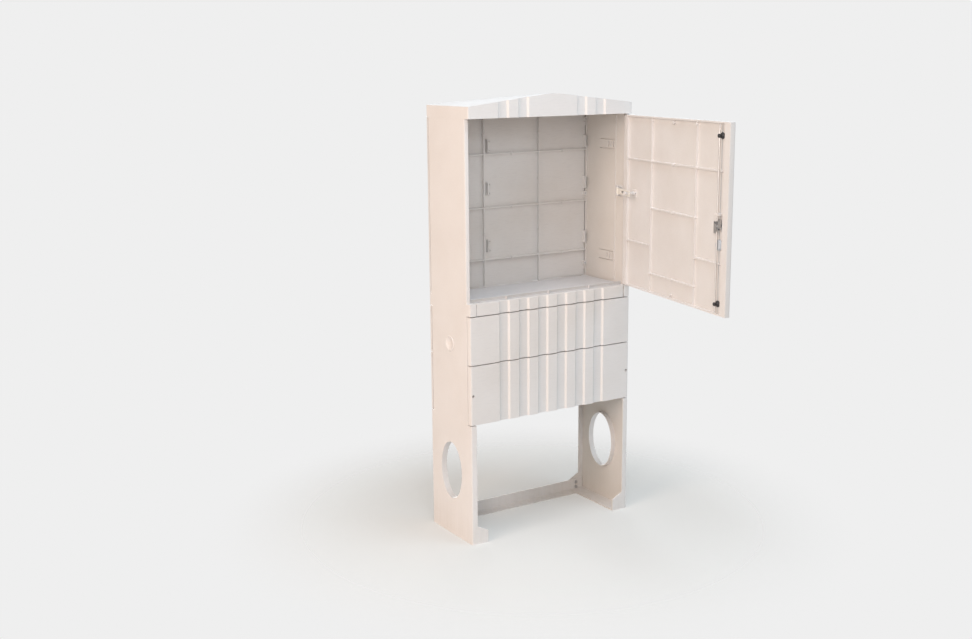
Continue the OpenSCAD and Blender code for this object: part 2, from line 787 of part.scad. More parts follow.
// Hooked clips that hold the rear wall to the flange of each side
module corner_clip() {
    leg_w = 10;
    hook = rear_jamb_w - wall_t + eps;
    flange_x = hw - rear_jamb_w;
    in_y = yb - rear_plate_t;
    front_y = rear_jamb_y - wall_t;
    translate([flange_x - pass_gap - leg_w, front_y - wall_t, -clip_h / 2]) cube([leg_w, in_y - front_y + wall_t, clip_h]);
    translate([flange_x - pass_gap - eps, front_y - wall_t, -clip_h / 2]) cube([hook, wall_t, clip_h]);
}

module corner_clips() {
    color(gel) for (row = clip_rows) translate([0, 0, row_z(row)]) {
        corner_clip();
        mirror([1, 0, 0]) corner_clip();
    }
}

// Roof: one moulding with a fluted fascia, a shallow gable and an inward flange
function roof_outline() = concat(
    [[-hw, yf]], flute_line(outer_flute_xs, yf, 0), [[hw, yf], [hw, yb]],
    [for (p = flute_line(outer_flute_xs, yf, 0)) [-p[0], -p[1]]], [[-hw, yb]]
);
function roof_radii() = concat(
    [edge_r], repeated(flute_r, 4 * len(outer_flute_xs)), [edge_r, edge_r],
    repeated(flute_r, 4 * len(outer_flute_xs)), [edge_r]
);

// Gable from side to side, its slopes drop mm lower than the roof's face
module gable(drop) {
    over = 10;
    slope = ridge_rise / hw;
    translate([0, yb + over, 0]) rotate([90, 0, 0]) linear_extrude(cab_d + 2 * over) polygon(soften(
        [
            [-hw - over, fascia_z - over], [hw + over, fascia_z - over], [hw + over, eave_z - drop - over * slope],
            [0, ridge_z - drop], [-hw - over, eave_z - drop - over * slope]
        ],
        [0, 0, 0, ridge_soft, 0],
        ridge_steps
    ));
}

// Space under the plane that falls to the rear from the front of the ridge, drop mm lower than the roof's face
module rear_fall(drop) {
    over = 10;
    slope = ridge_fall / cab_d;
    along_x(-hw - over, cab_w + 2 * over) polygon([
        [yf - over, fascia_z - over], [yb + over, fascia_z - over],
        [yb + over, ridge_z - ridge_fall - drop - over * slope], [yf - over, ridge_z - drop + over * slope]
    ]);
}

module roof() {
    side_flange = 45;
    front_flange = 50;
    inset = flute_depth + roof_t;
    color(gel) difference() {
        intersection() {
            translate([0, 0, fascia_z]) linear_extrude(ridge_z - fascia_z + eps) polygon(soften(roof_outline(), roof_radii()));
            gable(0);
            rear_fall(0);
        }
        intersection() {
            translate([-hw + roof_t, yf + inset, fascia_z + roof_flange_t])
                cube([cab_w - 2 * roof_t, cab_d - 2 * inset, ridge_z - fascia_z]);
            gable(roof_t);
            rear_fall(roof_t);
        }
        translate([-hw + side_flange, yf + front_flange, fascia_z - eps])
            cube([cab_w - 2 * side_flange, cab_d - 2 * front_flange, roof_flange_t + 2 * eps]);
        translate([hinge_x, hinge_y, fascia_z - eps]) cylinder(r = pin_r, h = roof_flange_t + 2 * eps);
        translate([lock_x, rod_y, fascia_z - eps]) cylinder(r = rod_hole_r, h = roof_flange_t + 2 * eps);
    }
}

// Hinge pins: each stands in the cabinet and has a collar that keeps the door off it
module hinge_pin_lower() {
    color(zinc) translate([hinge_x, hinge_y, 0]) {
        translate([0, 0, sill_z - wall_t]) cylinder(r = pin_r, h = wall_t + door_bottom_gap + pin_depth);
        translate([0, 0, sill_z]) cylinder(r = pin_flange_r, h = pin_flange_t);
    }
}

module hinge_pin_upper() {
    collar_h = door_top_gap - pass_gap;
    color(zinc) translate([hinge_x, hinge_y, 0]) {
        translate([0, 0, door_z1 - pin_depth]) cylinder(r = pin_r, h = pin_depth + door_top_gap + roof_flange_t);
        translate([0, 0, fascia_z - collar_h]) cylinder(r = pin_flange_r, h = collar_h);
    }
}

// Door placed by its hinge
module on_door() {
    translate([hinge_x, hinge_y, 0]) rotate([0, 0, door_angle]) translate([-hinge_x, -hinge_y, 0]) children();
}

function door_section() = concat(
    [[-hw, door_rim_y], [-hw, yf]], flute_line(flute_xs, yf, 0),
    [
        [hw, yf], [hw, door_rim_y - hinge_chamfer], [hw - hinge_chamfer, door_rim_y],
        [hw - hinge_rim_w, door_rim_y], [hw - hinge_rim_w, door_in_y],
        [-hw + free_rim_w, door_in_y], [-hw + free_rim_w, door_rim_y]
    ]
);
function door_radii() = concat([1, edge_r], repeated(flute_r, 4 * len(flute_xs)), [edge_r, 1, 1, 1, 0, 0, 1]);

module cross_rib(x0, x1, row) {
    translate([x0, door_in_y - eps, row_z(row) - rib_t / 2]) cube([x1 - x0, door_rib_h + eps, rib_t]);
}

module door_panel() {
    h = door_z1 - door_z0;
    rim_half = hw - door_rim_t / 2;
    rib_x0 = lock_x - rib_free_end;
    rib_x1 = hw - hinge_rim_w + eps;
    nub_y = door_in_y + door_rib_h + rib_t / 3;
    boss_h = pin_depth + pin_floor;
    color(gel) on_door() difference() {
        union() {
            translate([0, 0, door_z0]) linear_extrude(h) polygon(soften(door_section(), door_radii()));
            for (x = middle_flute_xs)
                translate([x - flute_w / 2, yf, door_z1 - door_field_h]) cube([flute_w, flute_depth + eps, door_field_h]);
            for (z = [door_z0, door_z1 - door_rim_t])
                translate([-rim_half, door_in_y - eps, z])
                    cube([2 * rim_half - hinge_chamfer, door_rim_y - door_in_y + eps, door_rim_t]);
            for (x = [-door_rib_x, door_rib_x])
                translate([x - rib_t / 2, door_in_y - eps, door_z0]) cube([rib_t, door_rib_h + eps, h]);
            for (x = [-door_rib_x, 0, door_rib_x])
                translate([x, 0, door_z1 - door_rim_t - 2 * gate_r]) y_rod(gate_r, door_in_y - eps, nub_y);
            translate([0, 0, door_z0 + door_rim_t + 2 * gate_r]) y_rod(gate_r, door_in_y - eps, nub_y);
            cross_rib(rib_x0, rib_x1, door_full_rib);
            for (row = door_mid_ribs) cross_rib(-door_rib_x, door_rib_x, row);
            for (row = concat([door_full_rib], door_mid_ribs)) for (x = [-door_rib_x, 0, door_rib_x])
                translate([x, 0, row_z(row)]) y_rod(gate_r, door_in_y - eps, nub_y);
            cross_rib(rib_x0, -door_rib_x, door_side_rib);
            cross_rib(door_rib_x, rib_x1, door_side_rib);
            for (z = [door_z0, door_z1 - boss_h]) translate([hinge_x, hinge_y, z]) cylinder(r = hinge_boss_r, h = boss_h);
        }
        for (z = [door_z0 - eps, door_z1 - pin_depth - eps])
            translate([hinge_x, hinge_y, z]) cylinder(r = pin_r + run_fit, h = pin_depth + 2 * eps);
        translate([lock_x, 0, spindle_z]) y_rod(spindle_r + run_fit, yf - eps, door_in_y + eps);
        translate([lock_x, 0, spindle_z - disc_down]) y_rod(stud_r + run_fit, yf - eps, door_in_y + eps);
    }
}

// Door stay: a loop that turns on the side wall and slides over a post on the door
module stay_bracket() {
    base_t = 4;
    base_front = 12;
    base_back = 34;
    base_over = 12;
    base_h = loop_h + 2 * ear_t + base_over;
    slot_y = 14;
    slot_w = 7;
    slot_h = 22;
    color(gel) difference() {
        union() {
            translate([inner_x - base_t, stay_y - base_front, stay_z - base_h / 2])
                cube([base_t, base_front + base_back, base_h]);
            for (s = [-1, 1])
                translate([stay_x, stay_y, stay_z + s * (loop_h / 2 + pass_gap + ear_t / 2) - ear_t / 2]) {
                    cylinder(r = ear_r, h = ear_t);
                    translate([0, -ear_r, 0]) cube([stay_in - base_t + eps, 2 * ear_r, ear_t]);
                }
        }
        translate([stay_x, stay_y, stay_z - base_h / 2]) cylinder(r = stay_pin_r, h = base_h);
        translate([inner_x - base_t - eps, stay_y + slot_y, stay_z - slot_h / 2])
            cube([base_t + 2 * eps, slot_w, slot_h]);
    }
}

module stay_pin() {
    span = loop_h + 2 * pass_gap + 2 * ear_t;
    head_t = 2;
    head_over = 1.5;
    color(zinc) translate([stay_x, stay_y, stay_z]) {
        translate([0, 0, -span / 2]) cylinder(r = stay_pin_r, h = span);
        for (z = [-span / 2 - head_t, span / 2]) translate([0, 0, z]) cylinder(r = stay_pin_r + head_over, h = head_t);
    }
}

module stay_loop() {
    color(zinc) translate([stay_x, stay_y, stay_z - loop_h / 2]) rotate([0, 0, stay_angle]) difference() {
        union() {
            cylinder(r = knuckle_r, h = loop_h);
            translate([0, -loop_t / 2, 0]) cube([loop_far + loop_end, loop_t, loop_h]);
        }
        translate([0, 0, -eps]) cylinder(r = stay_pin_r + run_fit, h = loop_h + 2 * eps);
        translate([loop_near, -loop_t, loop_bar]) cube([loop_far - loop_near, 2 * loop_t, loop_h - 2 * loop_bar]);
    }
}

module stay_post() {
    foot_w2 = 34;
    foot_h2 = 30;
    foot_t = 4;
    head_r = 9;
    head_t = 3;
    above = 13;
    color(gel) on_door() translate([post_x, 0, stay_z]) {
        translate([-foot_w2 / 2, door_in_y, -foot_h2 / 2]) cube([foot_w2, foot_t, foot_h2]);
        y_rod(post_r * 2, door_in_y, door_in_y + post_cross / 2);
        y_rod(post_r, door_in_y, post_y + above);
        y_rod(head_r, post_y + above, post_y + above + head_t);
    }
}

// Shape in the X-Z plane, extruded along +Y from y by d
module along_y(y, d) {
    translate([0, y + d, 0]) rotate([90, 0, 0]) linear_extrude(d) children();
}

module round_rect(w, h, r) {
    square([w - 2 * r, h], center = true);
    square([w, h - 2 * r], center = true);
    for (sx = [-1, 1]) for (sz = [-1, 1]) translate([sx * (w / 2 - r), sz * (h / 2 - r)]) circle(r);
}

// Handle plate: a dished plate with a finger recess beside the lever and a stud through the door
module handle_plate() {
    step = 2;
    recess_w = 9;
    recess_h = 84;
    centre_z = spindle_z + plate_top - plate_h / 2;
    color(pale_grey) on_door() difference() {
        union() {
            translate([lock_x, 0, centre_z]) {
                along_y(yf - plate_t + step, plate_t - step) round_rect(plate_w, plate_h, plate_r);
                along_y(yf - plate_t, step + eps) round_rect(plate_w - 2 * step, plate_h - 2 * step, plate_r - step);
            }
            translate([lock_x, 0, spindle_z - disc_down]) y_rod(stud_r, yf - eps, door_in_y + disc_t / 2);
        }
        translate([lock_x, 0, spindle_z]) y_rod(spindle_r + run_fit, yf - plate_t - eps, yf + eps);
        translate([lock_x - plate_w / 2 + recess_w, 0, spindle_z - lever_l / 2])
            along_y(yf - plate_t - eps, plate_t * 0.6) round_rect(recess_w, recess_h, recess_w / 2 - pass_gap);
    }
}

module fixing_disc() {
    rim = 3;
    color(pale_grey) on_door() translate([lock_x, 0, spindle_z - disc_down]) difference() {
        union() {
            y_rod(disc_r, door_in_y, door_in_y + disc_t - rim);
            y_rod(disc_r - rim, door_in_y, door_in_y + disc_t);
        }
        y_rod(stud_r + run_fit, door_in_y - eps, door_in_y + disc_t / 2 + run_fit);
    }
}

// Turned guide with a flange on the door and a cross bore for the rod
module rod_guide(z) {
    tip_wall = 3;
    flange_t = 4;
    taper_h = 5;
    tip_r = 1.5;
    depth = rod_off + rod_r + tip_wall;
    outline = [
        [0, 0], [guide_r, 0], [guide_r, flange_t], [guide_stem_r, flange_t + taper_h], [guide_stem_r, depth - tip_r],
        [guide_stem_r - tip_r, depth], [0, depth]
    ];
    color(dark) on_door() difference() {
        translate([lock_x, door_in_y, z]) rotate([-90, 0, 0]) rotate_extrude() polygon(outline);
        translate([lock_x, rod_y, z - guide_r]) cylinder(r = rod_r + run_fit, h = 2 * guide_r);
    }
}

module rod_guide_upper() {
    rod_guide(fascia_z - guide_top_drop);
}

module rod_guide_lower() {
    rod_guide(sill_z + guide_bottom_rise);
}

// Pieces that turn with the handle, drawn round the spindle axis in the locked place
module on_spindle() {
    on_door() translate([lock_x, 0, spindle_z]) rotate([0, -handle_angle, 0]) children();
}

// Cylinder along +X, centred
module x_rod(r, w) {
    translate([-w / 2, 0, 0]) rotate([0, 90, 0]) cylinder(r = r, h = w);
}

module handle_spindle() {
    color(zinc) on_spindle() difference() {
        union() {
            y_rod(spindle_r, plate_y, cam_y);
            translate([-tongue_w / 2, pivot_y, -tongue_h]) cube([tongue_w, plate_y - pivot_y + eps, 2 * tongue_h]);
            translate([0, pivot_y, 0]) x_rod(tongue_h, tongue_w);
        }
        translate([0, pivot_y, 0]) x_rod(pivot_r, tongue_w + 2 * eps);
    }
}

module lever_pin() {
    color(zinc) on_spindle() translate([0, pivot_y, 0]) x_rod(pivot_r, lever_w);
}

// Cam on the spindle's inner end, with one pin for each rod
module lock_cam() {
    hub_r = spindle_r + 4;
    arm_w = 2 * cam_pin_r + 6;
    color(zinc) on_spindle() {
        y_rod(hub_r, cam_y, cam_y + cam_t);
        rotate([0, 45, 0]) along_y(cam_y, cam_t) square([2 * cam_r, arm_w], center = true);
        for (s = [-1, 1]) translate([s * cam_pin_x, 0, -s * cam_pin_x]) {
            y_rod(arm_w / 2, cam_y, cam_y + cam_t);
            y_rod(cam_pin_r, cam_y, rod_y + rod_foot_t / 2 + 1);
        }
    }
}

// Lever: a fork round the spindle's tongue, a straight grip and a boss for the lock barrel
module handle_lever() {
    slot_w = tongue_w + 2 * cheek_gap;
    slot_z = -pivot_in - 2;
    end_r = lever_w / 2;
    color(pale_grey) on_spindle() difference() {
        union() {
            translate([0, pivot_y, 0]) x_rod(pivot_in, lever_w);
            intersection() {
                along_y(lever_y0, lever_t) union() {
                    translate([-lever_w / 2, -lever_l + end_r]) square([lever_w, lever_l - end_r]);
                    translate([0, -lever_l + end_r]) circle(end_r);
                }
                along_x(-lever_w, 2 * lever_w) polygon(soften(
                    [[lever_y1, 0], [lever_y0, 0], [lever_y0, -lever_l - eps], [lever_y1, -lever_l - eps]],
                    [0, 0, 5, 3]
                ));
            }
        }
        translate([-slot_w / 2, lever_y0 - lever_t, slot_z]) cube([slot_w, 3 * lever_t, lever_t * 2]);
        translate([0, pivot_y, 0]) x_rod(pivot_r + run_fit, lever_w + 2 * eps);
        translate([0, 0, -barrel_down]) y_rod(barrel_r, lever_y0 - eps, lever_y1 - 2);
        translate([0, 0, -barrel_down + cover_pivot]) y_rod(rivet_r, lever_y0 - eps, lever_y0 + lever_t / 2);
    }
}

module lock_barrel() {
    color(zinc) on_spindle() translate([0, 0, -barrel_down]) difference() {
        y_rod(barrel_r, lever_y0, lever_y1 - 2);
        y_rod(plug_r + run_fit, lever_y0 - eps, lever_y1 - 4);
    }
}

module key_plug() {
    key_w = 1.8;
    key_h = 6;
    color(zinc) on_spindle() translate([0, 0, -barrel_down]) difference() {
        y_rod(plug_r, lever_y0, lever_y1 - 4 - pass_gap);
        translate([-key_w / 2, lever_y0 - eps, -key_h / 2]) cube([key_w, lever_t / 2, key_h]);
    }
}

module cover_rivet() {
    color(zinc) on_spindle() translate([0, 0, -barrel_down + cover_pivot]) {
        y_rod(rivet_r, lever_y0 - cover_t - 2 * cover_gap, lever_y0 + lever_t / 2);
        y_rod(rivet_head_r, lever_y0 - cover_t - 2 * cover_gap - rivet_head_t, lever_y0 - cover_t - 2 * cover_gap);
    }
}

// Swinging cover over the key plug
module key_cover() {
    arm_w = 8;
    y0 = lever_y0 - cover_gap - cover_t;
    color(pale_grey) on_spindle() translate([0, 0, -barrel_down]) difference() {
        along_y(y0, cover_t) union() {
            circle(cover_r);
            translate([-arm_w / 2, 0]) square([arm_w, cover_pivot]);
            translate([0, cover_pivot]) circle(rivet_head_r + 1);
        }
        translate([0, 0, cover_pivot]) y_rod(rivet_r + run_fit, y0 - eps, y0 + cover_t + eps);
    }
}

// Flat foot of a rod: a slot round the cam's pin, and a bar that leads to the rod, drawn for the upper rod
module rod_foot() {
    slot_x = -(cam_r + cam_pin_x) / 2;
    slot_z = -cam_pin_x;
    low_z = slot_z - foot_slot_h / 2 - foot_rim;
    along_y(rod_y - rod_foot_t / 2, rod_foot_t) difference() {
        union() {
            translate([-foot_out, low_z]) square([foot_out - foot_in, foot_reach - low_z]);
            translate([-foot_out, foot_reach - foot_bar_h]) square([foot_out + rod_r, foot_bar_h]);
        }
        translate([slot_x, slot_z]) square([foot_slot_l, foot_slot_h], center = true);
    }
}

module upper_rod() {
    rest_top = fascia_z - rod_top_drop;
    color(zinc) on_door() translate([lock_x, 0, spindle_z + rod_shift]) {
        rod_foot();
        translate([0, rod_y, foot_reach - foot_bar_h]) cylinder(r = rod_r, h = rest_top - spindle_z - foot_reach + foot_bar_h);
    }
}

module rod_clip() {
    clip_w = 32;
    clip_t = 7;
    clip_up = 11;
    clip_wall = 2;
    clip_gap = 1.5;
    clip_y0 = clip_gap - rod_off;
    clip_d = rod_r + clip_wall - clip_y0;
    color(pale_grey) on_door() translate([lock_x, rod_y, spindle_z + rod_shift + foot_reach + clip_up]) difference() {
        translate([-clip_w / 2, clip_y0, 0]) cube([clip_w, clip_d, clip_t]);
        translate([0, 0, -eps]) cylinder(r = rod_r, h = clip_t + 2 * eps);
    }
}

module lower_rod() {
    rest_end = sill_z + rod_bottom_rise;
    color(zinc) on_door() translate([lock_x, 0, spindle_z - rod_shift]) {
        rotate([0, 180, 0]) rod_foot();
        translate([0, rod_y, rest_end - spindle_z]) cylinder(r = rod_r, h = spindle_z - rest_end - foot_reach + foot_bar_h);
    }
}

left_side();
right_side();
roof();
rear_wall();
rear_strip();
rear_panel_upper();
rear_panel_lower();
front_strip();
front_panel_upper();
front_panel_lower();
floor_shelf();
rear_rail();
rail_bolts();
side_caps();
panel_screws();
mounting_brackets();
corner_clips();
hinge_pin_lower();
hinge_pin_upper();
stay_bracket();
stay_pin();
stay_loop();
door_panel();
stay_post();
handle_plate();
fixing_disc();
rod_guide_upper();
rod_guide_lower();
handle_spindle();
lock_cam();
lever_pin();
handle_lever();
lock_barrel();
cover_rivet();
key_plug();
key_cover();
upper_rod();
rod_clip();
lower_rod();
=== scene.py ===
"""Dresses the roadside cable cabinet: finishes, softened edges, small screws, studio and camera."""

import logging
import math
from dataclasses import dataclass, field
from enum import Enum
from functools import cached_property
from typing import Any, Callable, Dict, List, Optional, Sequence, Tuple

import bmesh
import bpy
from mathutils import Matrix, Vector


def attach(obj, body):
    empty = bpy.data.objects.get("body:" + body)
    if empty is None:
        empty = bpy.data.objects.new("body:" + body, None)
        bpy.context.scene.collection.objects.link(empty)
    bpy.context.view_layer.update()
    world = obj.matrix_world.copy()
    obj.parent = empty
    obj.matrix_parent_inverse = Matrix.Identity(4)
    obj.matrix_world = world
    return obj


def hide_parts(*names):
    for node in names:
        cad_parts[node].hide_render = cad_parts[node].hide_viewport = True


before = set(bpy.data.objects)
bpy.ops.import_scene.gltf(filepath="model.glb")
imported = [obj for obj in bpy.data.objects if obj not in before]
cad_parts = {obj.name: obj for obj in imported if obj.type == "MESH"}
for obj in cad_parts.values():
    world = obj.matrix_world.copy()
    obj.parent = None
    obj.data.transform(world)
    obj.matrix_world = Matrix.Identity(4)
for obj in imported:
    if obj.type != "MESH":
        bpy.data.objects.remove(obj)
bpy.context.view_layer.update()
LOG = logging.getLogger("cabinet")

Colour = Tuple[float, float, float]
Point = Tuple[float, float, float]
Span = Tuple[float, float]
Sockets = Sequence[Tuple[str, str]]

MM = 0.001
UNIT: Span = (0.0, 1.0)
# A face looks in a direction if its normal's share along that direction is above this.
FACING = 0.6
# Hinge axis of the door, in metres, and how far the door stands open at rest, in degrees.
HINGE = (380.0 * MM, -147.0 * MM)
OPENED = 80.0
TO_FRONT: Point = (0.0, -1.0, 0.0)
TO_LEFT: Point = (-1.0, 0.0, 0.0)
COLOUR_SOCKET = "NodeSocketColor"
VALUE_SOCKET = "NodeSocketFloat"
# Numbers of sockets whose names come up twice in their node.
MIX_INPUTS = (0, 6, 7)
MIX_RESULT = 2
RANGE_ENDS = (1, 2, 3, 4)
# Profile of a bevel that is an arc.
ARC = 0.5


class Slot(Enum):
    """Material slots of the record."""

    MOULDING = "moulding"
    ZINC = "zinc"
    HANDLE = "handle"
    GUIDE = "guide"


class Body(Enum):
    """Rigid bodies of the cabinet."""

    CABINET = "cabinet"
    DOOR = "door"
    SPINDLE = "spindle"
    LEVER = "lever"
    PLUG = "plug"
    COVER = "cover"
    ROD_UP = "rod_up"
    ROD_DOWN = "rod_down"
    STAY = "stay"


def on_door(x: float, y: float, z: float) -> Point:
    """Moves a point of the shut door to where the open door has it.

    Args:
        x: Millimetres to the right.
        y: Millimetres to the back.
        z: Millimetres above the ground.

    Returns:
        The place in metres.
    """
    pivot = Vector((*HINGE, 0.0))
    turn = Matrix.Rotation(math.radians(OPENED), 3, "Z")
    return tuple(turn @ (Vector((x, y, z)) * MM - pivot) + pivot)


def door_inward() -> Point:
    """Direction that the open door's inner face looks to."""
    return tuple(Matrix.Rotation(math.radians(OPENED), 3, "Z") @ Vector((0.0, 1.0, 0.0)))


def add_object(name: str, data: bpy.types.ID) -> bpy.types.Object:
    """Adds an object with its data to the scene.

    Args:
        name: The object's name.
        data: Its mesh, lamp or camera.

    Returns:
        The new object.
    """
    made = bpy.data.objects.new(name, data)
    bpy.context.collection.objects.link(made)
    return made


def add_mesh(name: str, bm: bmesh.types.BMesh) -> bpy.types.Object:
    """Turns an edited mesh into an object and frees it.

    Args:
        name: The object's and the mesh's name.
        bm: The edited mesh.

    Returns:
        The new object.
    """
    mesh = bpy.data.meshes.new(name)
    bm.to_mesh(mesh)
    bm.free()
    return add_object(name, mesh)


def dress(piece: bpy.types.Object, material: bpy.types.Material) -> None:
    """Gives an object one material."""
    piece.data.materials.clear()
    piece.data.materials.append(material)


def dress_some(
    piece: bpy.types.Object,
    material: bpy.types.Material,
    picked: Callable[[bpy.types.MeshPolygon], bool],
) -> None:
    """Gives some faces of an object a second material.

    Args:
        piece: The object, already dressed with its first material.
        material: The second material.
        picked: Says whether a face gets it.
    """
    piece.data.materials.append(material)
    for face in piece.data.polygons:
        if picked(face):
            face.material_index = 1


@dataclass(frozen=True)
class Noise:
    """Settings of a noise.

    Attributes:
        scale: Its fineness.
        detail: Number of finer layers.
        roughness: Strength of the finer layers.
    """

    scale: float
    detail: float
    roughness: float = 0.5


class Graph:
    """Adds and links nodes in one node tree."""

    def __init__(self, tree: bpy.types.NodeTree) -> None:
        """Keeps the tree that the nodes go into."""
        self.tree = tree

    def node(
        self, kind: str, values: Optional[Dict[Any, Any]] = None, **props: Any
    ) -> bpy.types.Node:
        """Adds one node.

        Args:
            kind: The node's type name.
            values: Input sockets, by name or number, and the constants they hold.
            **props: Properties of the node itself.

        Returns:
            The new node.
        """
        made = self.tree.nodes.new(kind)
        for key, value in props.items():
            setattr(made, key, value)
        for key, value in (values or {}).items():
            made.inputs[key].default_value = value
        return made

    def link(self, source: bpy.types.NodeSocket, target: bpy.types.NodeSocket) -> None:
        """Links an output to an input."""
        self.tree.links.new(source, target)

    def math(self, operation: str, first: Any, second: Any) -> bpy.types.NodeSocket:
        """Adds a math node on two sockets or numbers.

        Args:
            operation: The math node's operation.
            first: A socket or a number.
            second: A socket or a number.

        Returns:
            The result's socket.
        """
        made = self.node("ShaderNodeMath", operation=operation)
        for index, value in enumerate((first, second)):
            if isinstance(value, bpy.types.NodeSocket):
                self.link(value, made.inputs[index])
            else:
                made.inputs[index].default_value = value
        return made.outputs[0]

    def mix(
        self, factor: Any, first: Any, second: Any, blend: str = "MIX"
    ) -> bpy.types.NodeSocket:
        """Adds a colour mix.

        Args:
            factor: A socket or a number.
            first: The colour at factor 0, a socket or a colour.
            second: The colour at factor 1, a socket or a colour.
            blend: How the second colour goes over the first.

        Returns:
            The mixed colour's socket.
        """
        made = self.node("ShaderNodeMix", data_type="RGBA", blend_type=blend)
        for index, value in zip(MIX_INPUTS, (factor, first, second)):
            socket = made.inputs[index]
            if isinstance(value, bpy.types.NodeSocket):
                self.link(value, socket)
            elif isinstance(value, (int, float)):
                socket.default_value = value
            else:
                socket.default_value = (*value[:3], 1.0)
        return made.outputs[MIX_RESULT]

    def span(
        self, value: bpy.types.NodeSocket, given: Span, result: Span = UNIT, smooth: bool = False
    ) -> bpy.types.NodeSocket:
        """Maps a value from one span to another, clamped.

        Args:
            value: The socket to map.
            given: Span that comes in.
            result: What its two ends become.
            smooth: Whether both ends run in softly.

        Returns:
            The mapped value's socket.
        """
        ends = dict(zip(RANGE_ENDS, (*given, *result)))
        made = self.node("ShaderNodeMapRange", ends, clamp=True)
        made.interpolation_type = "SMOOTHSTEP" if smooth else "LINEAR"
        self.link(value, made.inputs[0])
        return made.outputs[0]

    def noise(self, place: bpy.types.NodeSocket, noise: Noise) -> bpy.types.NodeSocket:
        """Adds a noise.

        Args:
            place: Coordinates that it lies on.
            noise: Its settings.

        Returns:
            The noise value's socket.
        """
        values = {"Scale": noise.scale, "Detail": noise.detail, "Roughness": noise.roughness}
        made = self.node("ShaderNodeTexNoise", values)
        self.link(place, made.inputs["Vector"])
        return made.outputs[0]

    def laid(
        self, place: bpy.types.NodeSocket, stretch: Point, turn: Point = (0.0, 0.0, 0.0)
    ) -> bpy.types.NodeSocket:
        """Turns and stretches coordinates.

        Args:
            place: The coordinates.
            stretch: Scale along each axis.
            turn: Turn about each axis, in radians.

        Returns:
            The new coordinates' socket.
        """
        made = self.node("ShaderNodeMapping", {"Rotation": turn, "Scale": stretch})
        self.link(place, made.inputs["Vector"])
        return made.outputs[0]

    def object_place(self) -> bpy.types.NodeSocket:
        """Adds the object's own coordinates."""
        return self.node("ShaderNodeTexCoord").outputs["Object"]

    def surface(
        self,
        factor: bpy.types.NodeSocket,
        first: bpy.types.Node,
        second: bpy.types.Node,
        output: str,
    ) -> None:
        """Mixes two shaders into the tree's output.

        Args:
            factor: Share of the second shader.
            first: The first shader.
            second: The second shader.
            output: Name of the output node.
        """
        both = self.node("ShaderNodeMixShader")
        self.link(factor, both.inputs[0])
        self.link(first.outputs[0], both.inputs[1])
        self.link(second.outputs[0], both.inputs[2])
        self.link(both.outputs[0], self.tree.nodes[output].inputs["Surface"])


